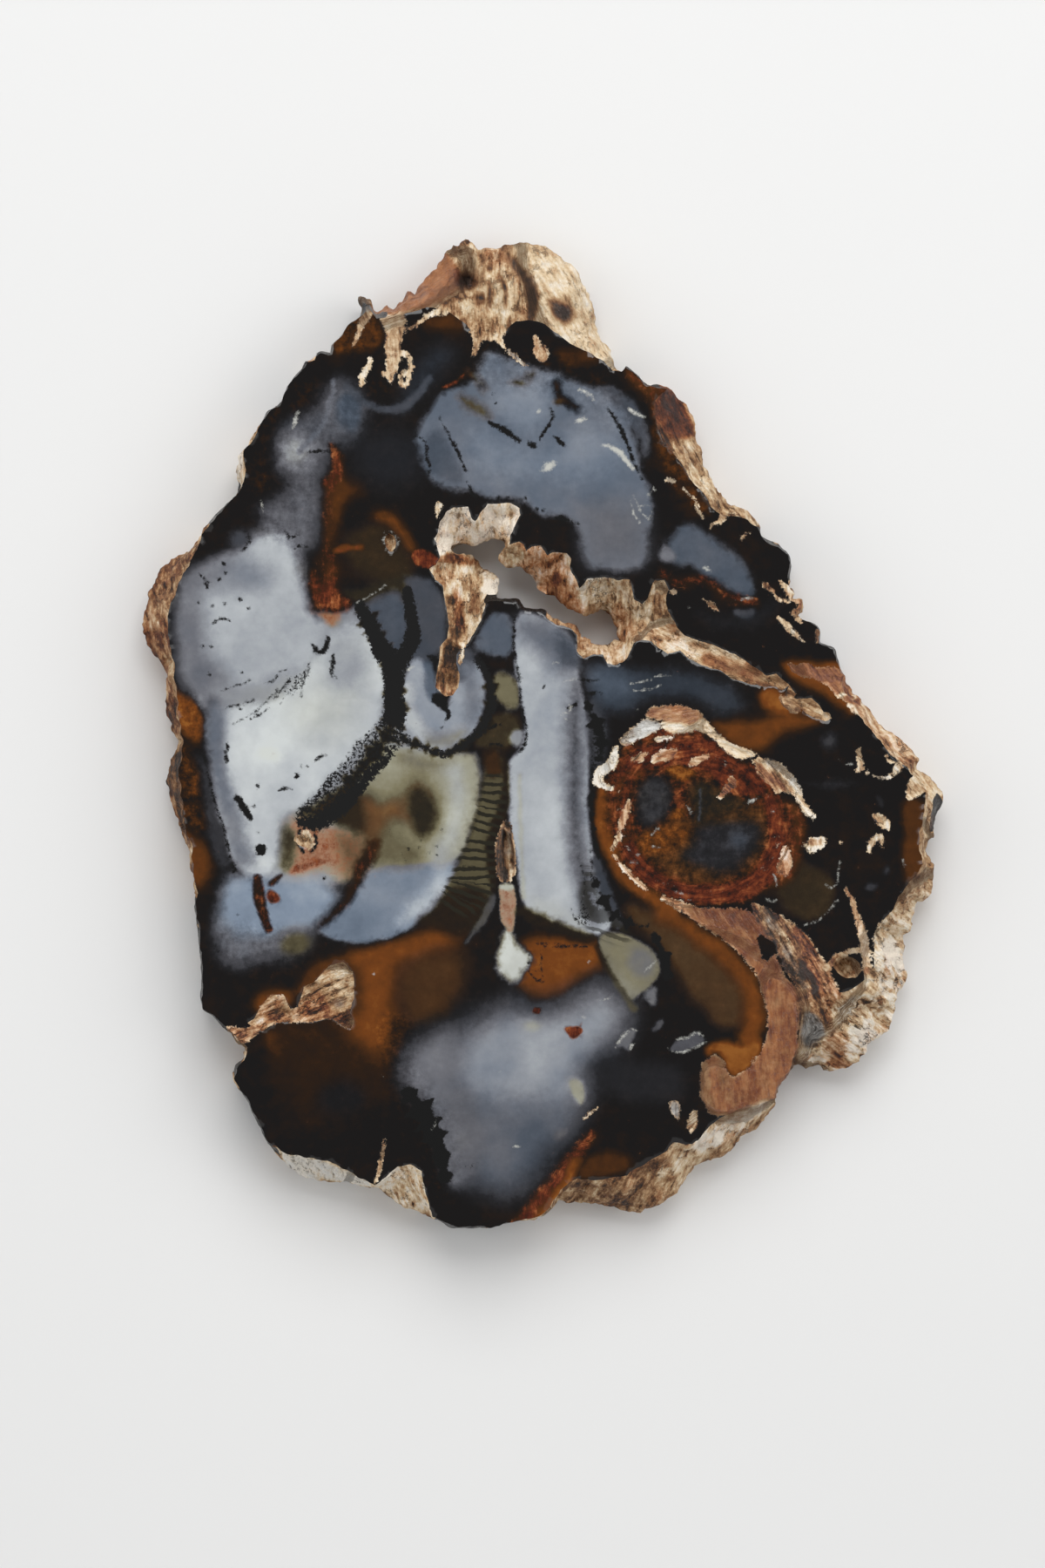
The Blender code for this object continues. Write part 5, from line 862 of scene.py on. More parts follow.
# The lie of the crust's strands
STRAND_LIES = """
left rind: turn 105; 2; -60,30 -50,30 -50,-20 -60,-20
cream tuft: turn -70; 1; -28,-60 -14,-60 -14,-73 -28,-73
bottom rind: turn 62; 2; 0,-60 22,-56 34,-48 40,-54 22,-72 0,-72
lower right rind: turn -38; 2; 37,-38 44,-38 48,-24 60,-18 60,-40 48,-54 36,-50
tongue: turn -58; 1.5; 18,-22 31,-22 45,-30 46,-38 38,-46 36,-38 30,-30 18,-27
caramel band: turn -88; 2; 31,-33 37,-36 38,-46 34,-54 22,-56 22,-46 30,-48
crest: turn -48; 1; 23,3 31,-2 40,-10 40,-14 35,-10 29,-5 22,0
dome: turn 12; 1; 9,-8 9,3 20,6 24,2 18,-1 12,-3
vein: turn -27; 1; 11,11 18,18 34,10 44,2 40,0 28,8
red band: turn -25; 1; 16,24.5 24,24 32,20.5 31,16.5 22,19.5 16,21
right rind: turn -50; 1.5; 34,12 42,12 60,-6 60,-16 50,-10 44,0
upper right rind: turn -62; 2; 12,54 22,54 32,34 32,26 22,30 16,42
crack: turn 25; 1; -48,-44 -42,-36 -26,-32 -26,-42 -38,-46
knob's left slope: turn 35; 2; -26,58 -26,64 -12,72 -10,66 -18,60
knob's lump: turn 120; 2; -4,73 12,73 12,52 2,52 -2,62
"""

# Stretches of the edge that are bare agate
BARE_EDGES = """
upper left: bare 1; 1 1.6; -24,60.5 -27.5,60 -30.5,57 -31.5,55.3
left of haze: bare 1; 1 1.7; -35.5,52.5 -38,48.6 -40.5,46.3
left shoulder: bare 1; 1 1.6; -44.8,34.8 -47.3,31.6
lower left: bare 1; 1 1.6; -51,-20 -50.3,-25 -49.8,-31 -49.8,-38.5 -47,-42
bottom left: bare 1; 1 1.6; -44.6,-48.5 -43.8,-52 -41.4,-56.2 -40.4,-58.4
bottom: bare 1; 1 1.4; -14.5,-70.8 -10,-71.6 -5,-71.2
right: bare 0.6; 1 1; 57.3,-9.6 57,-12
upper right: bare 1; 1 1.4; 43,9.8 42.2,12.4 40.6,13
right corner: bare 1; 0.7 0.9; 40,15.5 38.4,16.4
right shoulder: bare 1; 0.8 1.5; 35.8,22 36,25 33,28 31.6,29
top right: bare 1; 0.8 1.2; 16,50.5 13.5,52 11.8,53.2
lower lip: bare 1; 0.5 0.8; -7.6,19 -4,19 -3.3,17.9 -0.4,17.5
"""

WASHES: tuple[Wash, ...] = tuple(map(Wash.read, rows_of(
    CLEAR_STONE + MILKY_STONE + COMB_AND_DUST + RUST_STAINS + ROUND_KNOT + CARAMEL_AND_FIBRES
    + CRUST_ISLANDS + RIND_TINTS + STRAND_LIES + BARE_EDGES)))

# Thin dark and pale marks
INK: tuple[Shape, ...] = read_marks("""
0.12 0.3 0.2: -15,45.5 -13.5,42.5 -12,40 -11.2,37.6; -11,36 -10.3,34.6 -9.6,33.6; -18.3,42.6 -16.8,41.8
  -16.9,40 -16.2,38.6 -16.6,37; -49.5,23 -48.6,22 -48.2,20.8; -47.5,15.7 -46.4,16.5 -45,16.3; -37,29
  -36.3,28 -35.2,28.5; -35.6,26.4 -34.8,26.9 -34,26.8; -34,40.4 -32,40.4 -30.8,40.6; -42.5,28.4 -42,27.3
  -43.2,26.3; -6,1.2 -8,0.8; 6.6,-5.6 7.4,-4.6; 5,7.6 7.8,7.5; 5.2,6 7,5.6 8.4,5.8; 3.4,3.6 4.8,4.2;
  -0.2,6.4 0,6.8
0.3 0.5 0.4: -7.8,44.6 -6,43.8 -4.8,42.8 -3.6,41.9; -2.2,41.6 -1.2,41.2; 1.7,42.5 2.9,41.6; -33.2,12.6
  -32.4,11.6 -31.4,11.7 -30.8,13.6
0.2 0.35 0.3 0.2: -0.4,42 0.2,43.6 1.4,44.6 1.5,45.6 1,46.6; -30.2,11.4 -30.2,9.6 -30.6,8.6 -29.8,8;
  -38,-8.4 -37,-7.9 -36.2,-8.1; -32.7,-4 -32.2,-3.4 -31.3,-3.2; -45.4,-1.2 -45.2,-2.2 -45.6,-3.2 -45.3,-4.2;
  9.2,46.6 10.2,45.2 11.2,43.6 12.2,41 13.2,38.5 14.2,36.6; 1.2,30.9 2.6,31 4,30.4 5.2,29.9
0.25 0.4 0.3: -34.9,-13.8 -35.2,-15.6 -34.5,-17.2; -32.9,-13.9 -32.6,-15.6 -33.2,-17.1
0.5 0.62 0.4: -44,-9.3 -43.2,-10.6 -42.1,-12.3
0.55 1.25 14: -22,27.3
0.35 0.4 0.2: -35.5,-5.9 -35.6,-6.6; -16.4,10.9 -15,10.2 -14.9,8
0.16 0.24 0.2 0.3: -48.8,-2.8 -48.2,-6 -47.3,-9.5 -46.2,-12.8 -45.2,-16.5 -44.2,-19.8; -4.2,17 -4.2,14
  -4.1,11 -3.5,8 -3.3,5 -2.8,2.4 -2.3,0 -2.6,-1.8 -3.4,-2.6
0.9 0.55 0.3: -15.3,5 -14.3,4 -13.6,2.6 -14.1,1.8
0.1 0.14: -14.8,0.6 -13.8,1.2; -8,-1.8 -7,-1.6 -6,-1.9; -19.8,-1.5 -18.2,-2.2 -17,-3
0.1 0.16 0.1: 5.3,-18.8 5.7,-20.5 5.9,-22.6 5.4,-24.4; 6.6,-16 7,-18.6 6.8,-20.4 7.2,-22; 4,-25 4.6,-26.4
  5.2,-27.4; 7.7,-22.5 8.7,-24 9.4,-25.6; 7.2,1.6 7.8,0 7.6,-1.5; 8.6,2.4 8.9,0.6 8.4,-1
0.1 0.16 0.12: -46.5,6 -44.5,6.8 -42,7.6; -45.5,3.6 -43,4.4 -41.6,4.6; -44.5,1.2 -42,2.6 -40,4.4 -38,6.4;
  -42.5,1.8 -40.6,2.8 -39.4,3.8; -40.2,7 -38.4,7.4 -38,8.8 -36.6,9.2; -38.6,5 -37.4,6.6 -36.4,7.6; -37.8,4.2
  -36.6,5.8 -35.4,7; -36,5.6 -35,7.4 -34.2,9; -34.7,5.4 -34.6,7 -33.8,8.4 -33.6,10
0.13 0.17: -1,-30.2 1,-30.7 4,-30.8 6.2,-30.6; -0.6,-30.1 3,-30.4 5.8,-30.3; -2,-31.4 -2.3,-33 -1.9,-35
  -0.6,-35.7 0,-35.8; -0.4,-31 -0.3,-33 -0.2,-35; -2.1,-33.8 -1,-34.2 -0.2,-33.9
0.3 0.3: -6.5,33.7; -8,33.6; -5,33.7; -2.5,33.7; -1,32.3; 0,32.1; -48,21.6; -46,24.4; -45.7,23; -49.5,18.6;
  -47.4,18.2; -45.9,18.7; -43.5,19.1; -42.3,18; -48.9,12.6; -47.6,12.5; -47.9,8.5; -43.4,8.8; -41.8,4.8;
  -43.5,3.6; -41,-7.6; -41.6,-10.5; -31.5,-20.8; -46.6,22
0.2 0.2: -17.5,-15.4; -17.7,-16.4; -19.3,-16.6; -20.2,-17.2; -15.2,-16.3; -16.4,-17.2; -15.4,-17.6;
  -19.8,-18.2; -14.6,-13.8; -22.2,-14.1; -11,-15.1; -18.3,1.2; -16.6,-1.2; -33.8,-4.8; -34.8,-4.7;
  -41,-14.2; -43.7,-26; -7.4,48.5; -6.8,47.4; -15.8,36.5
0.95 0.9 20: -40.6,-16.7
0.5 0.45: -44.4,-19.7
0.9 1.5 1.7 1.4 0.9 bristles 1.9 0.7: -19.6,-51.5 -17.2,-54.6 -15.8,-57.6 -14.6,-60.6 -14.2,-63.4
0.3 0.8 0.8 0.2 bristles 1.2 0.8: 6.2,4.5 7.6,1.5 8.6,-1.5 7.6,-4.5
0.1 0.2 0.2 0.3 bristles 0.6 0.7: 6.9,-6 6.9,-10 7.2,-14 7.9,-18
0.3 0.4 0.6 0.7 0.4 bristles 1.6 0.75: 7.4,-21 8.4,-23.6 10,-26.2 12.6,-27.4 15,-27.6
0.5 0.7 0.8 bristles 1 0.8: 15.8,-29 17.3,-31.5 17.8,-34.6
""")

# Thin pale marks: pale specks and threads in the stone, and painted glints on the knot
CHALK: tuple[Shape, ...] = read_marks("""
0.2 0.45 0.5 0.2: 8.4,41.4 9.8,41 11,40.2 12,39 13.1,37.8
0.12 0.22 0.12: -22.7,28.8 -23,27.4 -22.5,26 -21.8,25.5; -22,29 -21.1,28.2 -21,26.8; 10.3,-45.1 11.3,-43.6
  12.6,-42.4 13.4,-42.7; 12.3,-45.8 12.9,-44.6; 17.8,-45.2 19.5,-46.1 21.5,-45.3 23.3,-44.4; 19,-44
  20.6,-43.9 21.8,-42.7 23,-43.4
0.25 0.35 0.15: 5.2,49.3 6.4,48.9 7.2,47.8; -35.3,46 -35.6,44.8 -35.9,43.8; 12.4,46.6 13.4,45.8 14.4,45.4
0.1 0.13: 13,34 13.6,32.4 14.6,31; 14,32.6 15.2,32.8 15.8,31.6 15,30.4; 12.6,33.2 12.8,31.6 13.8,30.2;
  -40.6,33.4 -40.2,31.8; 12.6,7 14,7.4 15.4,7.7; 13,6 15,6.2 17,6.8; 16,8.2 18,8.4; 2.8,3.4 3.4,2.6 4.2,3.4
  3.6,4.2; 2.6,2.6 3.4,2; 37.6,-27.6 39.6,-27 41,-25.4 42.2,-24; 42.6,-18 42.2,-19.8 42.4,-21.4 41.4,-22.4
  40.6,-21.8; 51.6,-18 51.9,-19.2; -26.8,18.6 -24.5,19.9 -22.6,21.4; 1.4,10 2.4,10.2; 3,7.4 4.6,7.8; -19.6,9
  -18.6,9.6; 14.4,-34.4 16,-32.8; -16,-57 -15.3,-55.4; 43.4,-4.6 44.4,-4.4; 15.6,-16.2 16.6,-16.6;
  15.3,-14.6 16.6,-13.6; 31.9,-23.6 32.6,-24.4 33.4,-24.1; 20.6,-10.4 21.2,-11.4; 19,-22.8 20.6,-23.2;
  19.8,-23.6 21,-24
0.9 0.45 10: 5.4,44.9
1.3 0.55 25: 0.7,38.3
0.4 0.3: -0.5,46.2
0.3 0.4: 15.8,35.1
0.25 0.35: 15,34
0.6 0.3 -30: 23.4,23.5
0.9 0.22 10: 29.2,19.3
0.35 0.2 30: -39,-3.1
0.2 0.2: 6.5,-32.8; -24.3,-34.5; -23.1,-49.2; 13.5,3.4; 32.9,-11.3
0.5 0.2: -3.9,-59.4
0.25 0.25: 20.9,18.2
0.15 0.15: -6.1,-48.6; 42.6,-3.9
0.2 0.6 10: 33.3,-21
0.6 0.25 35: 30,-9.7
0.4 0.25 20: 13.6,-17.6
0.4 0.2 10: 13.1,-18.6
0.25 0.2: 19,2.8
0.9 0.15 15: 8.6,-38.2
0.4 0.2 -15: 5.8,-40.8
""")

# The strands run round inside the knot, and the edge isn't chipped at the thin spur
KNOT = Oval((22.2, -12.4), (13.6, 12.6), 0.0, 0.5)
SPUR = Oval((-25.3, 61.2), (2.6, 2.6), 0.0, 1.0)

# The comb's bars cross this line, one for each pitch of its length
COMB_SPINE = "-5.6,-1 -5.6,-6 -5.9,-11 -7,-15 -7.3,-19 -7.2,-22 -8.4,-25.5 -11.5,-30"
COMB_PITCH = 1.22


# What these fields hold before the first wash
UNWASHED = {Field.TINT: 0.5, Field.HUE: 0.2, Field.TURN: 90.0, Field.FEATHER: 1.0}


@dataclass
class Markings:
    """Blends the washes into fields, one value for each point of the surface."""

    loose_warp: float = 0.6
    close_warp: float = 0.22
    loose_size: float = 4.0
    close_size: float = 1.4
    loose_seed: int = 11
    close_seed: int = 23
    loose_from: float = 1.0      # washes softer than this follow the loose warp
    drift: float = 5.0           # how far the markings wander on their way down through the stone
    drift_size: float = 5.5
    drift_from: float = 3.0      # depth at which they start to wander
    drift_to: float = 8.0        # depth at which they wander all the way
    reach: float = 2.0           # distances are measured up to this
    dense_reach: float = 0.45    # the mesh is closer within this of a mark
    knot_reach: float = 20.0     # distances from the knot's rim are measured up to this
    knot_run: float = 0.6        # how fast its strands run on round it
    mild_soft: float = 1.3       # a milk edge softer than this is less ragged

    def warped(self, flat: Flat, amount: float, size: float, seed: int) -> Flat:
        """Shift the points by layered noise, so that the given outlines lose their even curves."""
        place = deep(flat)
        shift = np.column_stack([layered_noise(place, size, 3, seed + 500 * axis) for axis in (0, 1)])
        return flat + amount * shift

    def fields(self, surface: Points) -> dict[Field, np.ndarray]:
        """Work out every field that the washes and marks state.

        Args:
            surface: points of the slab in millimetres.

        Returns:
            The value of each field at each point.
        """
        flat = surface[:, :2] - READING_SHIFT
        below = eased(surface[:, 2].max() - surface[:, 2], self.drift_from, self.drift_to)
        wander = np.column_stack([layered_noise(surface, self.drift_size, 3, seed) for seed in (301, 308)])
        sunken = flat + self.drift * below[:, None] * wander
        close = self.warped(sunken, self.close_warp, self.close_size, self.close_seed)
        loose = self.warped(close, self.loose_warp, self.loose_size, self.loose_seed)
        values = {name: np.full(len(surface), UNWASHED.get(name, 0.0)) for name in Field}
        values[Field.CRUST] += self.reach
        for wash in WASHES:
            place = loose if wash.shape.soft > self.loose_from else close
            cover = wash.shape.cover(place)
            if Field.MILK in wash.values:
                step = np.abs(wash.values[Field.MILK] - values[Field.MILK])
                edge = 4.0 * cover * (1.0 - cover) * step * min(1.0, self.mild_soft / wash.shape.soft)
                values[Field.RAG] = np.maximum(values[Field.RAG] * (1.0 - cover), edge)
            for name, value in wash.values.items():
                if name is not Field.CRUST:
                    values[name] += (value - values[name]) * cover
            if Field.CRUST in wash.values:
                gap = wash.shape.gap(place, self.reach)
                crust = values[Field.CRUST]
                adds = wash.values[Field.CRUST] > 0.5
                values[Field.CRUST] = np.minimum(crust, gap) if adds else np.maximum(crust, -gap)
        for name, marks in ((Field.INK, INK), (Field.CHALK, CHALK)):
            values[name] = np.full(len(surface), self.reach)
            for mark in marks:
                values[name] = np.minimum(values[name], mark.gap(close, self.reach))
        _, along = nearest_on_line(flat, path(COMB_SPINE))
        values[Field.PHASE] = along / COMB_PITCH
        turn = np.radians(values[Field.TURN])
        in_knot = KNOT.cover(flat) > 0.5
        x, y = flat.T
        across = np.where(in_knot, KNOT.gap(flat, self.knot_reach), y * np.cos(turn) - x * np.sin(turn))
        along = np.where(in_knot, self.knot_run * (x + y), x * np.cos(turn) + y * np.sin(turn))
        values[Field.ACROSS] = across * MILLIMETRE
        values[Field.ALONG] = along * MILLIMETRE
        return values

    def detail(self, flat: Flat) -> np.ndarray:
        """Return how far each point lies from the nearest mark that needs closely spaced points."""
        place = self.warped(flat - READING_SHIFT, self.close_warp, self.close_size, self.close_seed)
        best = np.full(len(flat), self.reach)
        for mark in INK + CHALK:
            best = np.minimum(best, mark.gap(place, self.reach))
        for wash in WASHES:
            if wash.values.keys() & {Field.CRUST, Field.COMB, Field.SOOT}:
                best = np.minimum(best, wash.shape.gap(place, self.reach))
            elif wash.shape.soft <= self.loose_from:
                best = np.minimum(best, np.abs(wash.shape.gap(place, self.reach)))
        return best


# The stone's surface

@dataclass
class StoneSurface:
    """The slab's fine mesh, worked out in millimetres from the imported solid."""

    splits: int = 3              # each facet of the rough walls becomes splits squared
    bulge: float = 0.7           # how far the facets are rounded towards their corners' tangent planes
    face_spacing: float = 0.8    # distance between points on the polished face
    mark_spacing: float = 0.34   # the same along thin marks
    back_spacing: float = 1.3    # the same on the sawn back
    border_gap: float = 0.33     # nearest that a point of a flat face comes to its border
    fibre_depth: float = 0.45    # how deep the walls' fibres are
    lump_depth: float = 0.40     # how deep their lumps are
    free_from: float = 0.7       # the walls are at their roughest this far from the flat faces
    chip: float = 0.26           # how far the rims are chipped sideways
    inset: float = 0.03          # nearest that a point of the walls comes to a flat face's level
    rim_depth: float = 0.04      # how far smooth crust lies below the polish
    pit_depth: float = 0.7       # how deep the crust on the face is pitted
    level: float = 1e-4          # heights nearer than this are the same
    markings: Markings = field(default_factory=Markings)

    def solid(self) -> tuple[Points, np.ndarray]:
        """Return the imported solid's corners in millimetres and its triangles, with its doubles merged."""
        merged = bmesh.new()
        merged.from_mesh(bpy.data.objects[NODE].data)
        bmesh.ops.remove_doubles(merged, verts=merged.verts, dist=1e-6)
        corners = np.array([corner.co[:] for corner in merged.verts]) / MILLIMETRE
        triangles = np.array([[corner.index for corner in face.verts] for face in merged.faces])
        merged.free()
        return corners, triangles

    @staticmethod
    def normals(corners: Points, triangles: np.ndarray) -> Points:
        """Average the normals of the triangles round each corner, weighted by their areas."""
        a, b, c = (corners[triangles[:, side]] for side in range(3))
        area_normal = np.cross(b - a, c - a)
        total = np.zeros_like(corners)
        for side in range(3):
            np.add.at(total, triangles[:, side], area_normal)
        return total / np.maximum(np.linalg.norm(total, axis=1, keepdims=True), 1e-12)

    def split_walls(self, corners: Points, triangles: np.ndarray) -> tuple[Points, np.ndarray]:
        """Split the rough facets into small ones on a rounded surface.

        Each facet is a patch of two parameters: its corners blended by weights that add up to 1, then
        pulled towards the tangent planes at the corners. Shared points of neighbours are merged.
        """
        normals = self.normals(corners, triangles)
        count = self.splits
        grid = [(i, j) for i in range(count + 1) for j in range(count + 1 - i)]
        place = {cell: index for index, cell in enumerate(grid)}
        weights = np.array([(count - i - j, i, j) for i, j in grid]) / count
        cells = []
        for i, j in grid:
            if i + j < count:
                cells.append((place[i, j], place[i + 1, j], place[i, j + 1]))
            if i + j < count - 1:
                cells.append((place[i + 1, j], place[i + 1, j + 1], place[i, j + 1]))
        own = corners[triangles]
        own_normals = normals[triangles]
        plain = np.einsum("wc,tcd->twd", weights, own)
        offset = plain[:, :, None, :] - own[:, None, :, :]
        along = (offset * own_normals[:, None]).sum(axis=3, keepdims=True)
        on_planes = plain[:, :, None, :] - along * own_normals[:, None]
        curved = (on_planes * weights[None, :, :, None]).sum(axis=2)
        flat_level = (plain[:, :, 2] > self.top - self.level) | (plain[:, :, 2] < self.level)
        shaped = np.where(flat_level[:, :, None], plain, plain + self.bulge * (curved - plain))
        keys = np.round(plain.reshape(-1, 3) * 1e4).astype(np.int64)
        _, first, merged = np.unique(keys, axis=0, return_index=True, return_inverse=True)
        numbers = merged.reshape(-1).reshape(len(triangles), len(grid))
        small = numbers[:, np.array(cells)].reshape(-1, 3)
        return shaped.reshape(-1, 3)[first], small

    def roughened(self, points: Points, triangles: np.ndarray) -> tuple[Points, np.ndarray]:
        """Push the walls in and out along their normals, by fibres that run through the slab and by lumps.

        Args:
            points: the walls' points.
            triangles: their triangles.

        Returns:
            The moved points, and how deep in a hollow each one lies, from 0 to 1.
        """
        normals = self.normals(points, triangles)
        fields = self.markings.fields(points)
        coarse = ridged(layered_noise(points, (1.5, 1.5, 9.0), 2, 41))
        fine = ridged(layered_noise(points, (0.7, 0.7, 4.0), 2, 47))
        lumps = layered_noise(points, 2.6, 3, 53)
        porous = 1.0 - 0.65 * fields[Field.BARE]
        relief = self.fibre_depth * (1.3 * coarse + 0.7 * fine - 1.3) + self.lump_depth * lumps
        inward = np.minimum(self.top - points[:, 2], points[:, 2])
        free = eased(inward, 0.0, self.free_from)
        moved = points + normals * (relief * porous * free)[:, None]
        rim = inward < self.level
        sideways = normals * np.array((1.0, 1.0, 0.0))
        chips = self.chip * layered_noise(points, 1.1, 2, 61) * (1.0 - SPUR.cover(points[:, :2]))
        moved[rim] = points[rim] + sideways[rim] * chips[rim, None]
        inner = ~rim
        moved[inner, 2] = np.clip(moved[inner, 2], self.inset, self.top - self.inset)
        # How deep each point lies in a hollow; the crust gets painted shade by it
        hollow = np.clip(0.5 - relief / (2.0 * (self.fibre_depth + self.lump_depth)), 0.0, 1.0)
        return moved, hollow

    def lattice(self, spacing: float, low: np.ndarray, high: np.ndarray, seed: int) -> np.ndarray:
        """Return a shaken lattice of flat points: rows half a step apart in turn, moved by seeded noise."""
        rows = np.arange(low[1], high[1], spacing * math.sqrt(0.75))
        columns = np.arange(low[0], high[0], spacing)
        x, y = np.meshgrid(columns, rows)
        x = x + 0.5 * spacing * (np.arange(len(rows)) % 2)[:, None]
        flat = np.column_stack((x.ravel(), y.ravel()))
        shake = np.random.default_rng(seed).uniform(-0.2, 0.2, flat.shape) * spacing
        return flat + shake

    def flat_points(self, border: np.ndarray, starts: np.ndarray, ends: np.ndarray, spacing: float,
                    with_marks: bool) -> np.ndarray:
        """Choose the points of a flat face: a lattice inside its border, closer along thin marks."""
        low, high = border.min(axis=0), border.max(axis=0)
        wide = self.lattice(spacing, low, high, 5)
        if with_marks:
            wide = wide[self.markings.detail(wide) > self.markings.dense_reach]
            close = self.lattice(self.mark_spacing, low, high, 6)
            close = close[self.markings.detail(close) <= self.markings.dense_reach]
            wide = np.concatenate((wide, close))
        wide = wide[inside_edges(wide, starts, ends)]
        clear = np.ones(len(wide), dtype=bool)
        for block in np.array_split(np.arange(len(wide)), max(1, len(wide) // 2000)):
            offset = wide[block][:, None, :] - border[None, :, :]
            clear[block] = (offset * offset).sum(axis=2).min(axis=1) > self.border_gap ** 2
        return wide[clear]

    def cap(self, points: Points, edges: np.ndarray, height: float, spacing: float,
            with_marks: bool, facing_up: bool) -> tuple[Points, np.ndarray]:
        """Fill a flat face between border edges with triangles through its lattice.

        Args:
            points: the walls' points.
            edges: pairs of point numbers that border the face.
            height: the face's height.
            spacing: distance between lattice points.
            with_marks: whether thin marks get a closer lattice.
            facing_up: whether the triangles face up.

        Returns:
            The new points, and triangles whose numbers go on from the walls' points.
        """
        numbers, local = np.unique(edges, return_inverse=True)
        local = local.reshape(-1, 2)
        border = points[numbers, :2]
        starts, ends = border[local[:, 0]], border[local[:, 1]]
        inner = self.flat_points(border, starts, ends, spacing, with_marks)
        everything = np.concatenate((border, inner))
        corners, _, triangles, sources, _, _ = delaunay_2d_cdt(
            everything.tolist(), local.tolist(), [], 0, 1e-7)
        spots = np.array([corner[:] for corner in corners])
        faces = np.array(triangles)
        kept = faces[inside_edges(spots[faces].mean(axis=1), starts, ends)]
        origin = np.array([source[0] if source else -1 for source in sources])
        if len(spots) != len(everything):
            LOG.warning("the border of the face at %.1f mm crosses itself", height)
        table = np.concatenate((numbers, len(points) + np.arange(len(inner))))
        result = table[origin[kept]]
        if not facing_up:
            result = result[:, ::-1]
        return deep(inner, height), result

    def build(self) -> tuple[Points, np.ndarray, np.ndarray, dict[Field, np.ndarray]]:
        """Work out the whole stone.

        Returns:
            Points, triangles, each triangle's finish (0 polish, 1 rind, 2 back) and the fields.
        """
        corners, triangles = self.solid()
        self.top = corners[:, 2].max()
        heights = corners[triangles, 2]
        flat = np.all(heights > self.top - self.level, axis=1) | np.all(heights < self.level, axis=1)
        walls, wall_triangles = self.split_walls(corners, triangles[~flat])
        walls, hollow = self.roughened(walls, wall_triangles)
        sides = np.sort(np.concatenate([wall_triangles[:, [i, (i + 1) % 3]] for i in range(3)]), axis=1)
        edges, counts = np.unique(sides, axis=0, return_counts=True)
        border = edges[counts == 1]
        at_top = np.all(walls[border, 2] > self.top - self.level, axis=1)
        face_points, face = self.cap(walls, border[at_top], self.top, self.face_spacing, True, True)
        base = np.concatenate((walls, face_points))
        back_points, back = self.cap(base, border[~at_top], 0.0, self.back_spacing, False, False)
        points = np.concatenate((base, back_points))
        everything = np.concatenate((wall_triangles, face, back))
        finish = np.repeat((1, 0, 2), (len(wall_triangles), len(face), len(back)))
        fields = self.markings.fields(points)
        face_numbers = np.arange(len(walls), len(walls) + len(face_points))
        sunk = self.sunk(face_points, fields[Field.CRUST][face_numbers], fields[Field.FEATHER][face_numbers])
        points[face_numbers, 2] -= sunk
        # How deep the face's crust is pitted, which also gives it painted shade
        pitted = 0.5 * sunk / self.pit_depth
        fields[Field.HOLLOW] = np.concatenate((hollow, pitted, np.zeros(len(back_points))))
        return points, everything, finish, fields

    def sunk(self, face_points: Points, gap: np.ndarray, feather: np.ndarray) -> np.ndarray:
        """Return how far the face's crust lies below the polish: a rim's depth, and pits by ridged noise."""
        pits = 1.0 - ridged(layered_noise(face_points, 2.4, 3, 83))
        rough = eased(feather, 0.3, 0.9)
        return eased(-gap, 0.0, 0.6) * (self.rim_depth + rough * (self.rim_depth + self.pit_depth * pits))


# Shader wiring

Colour = tuple[float, float, float]
Socket = bpy.types.NodeSocket


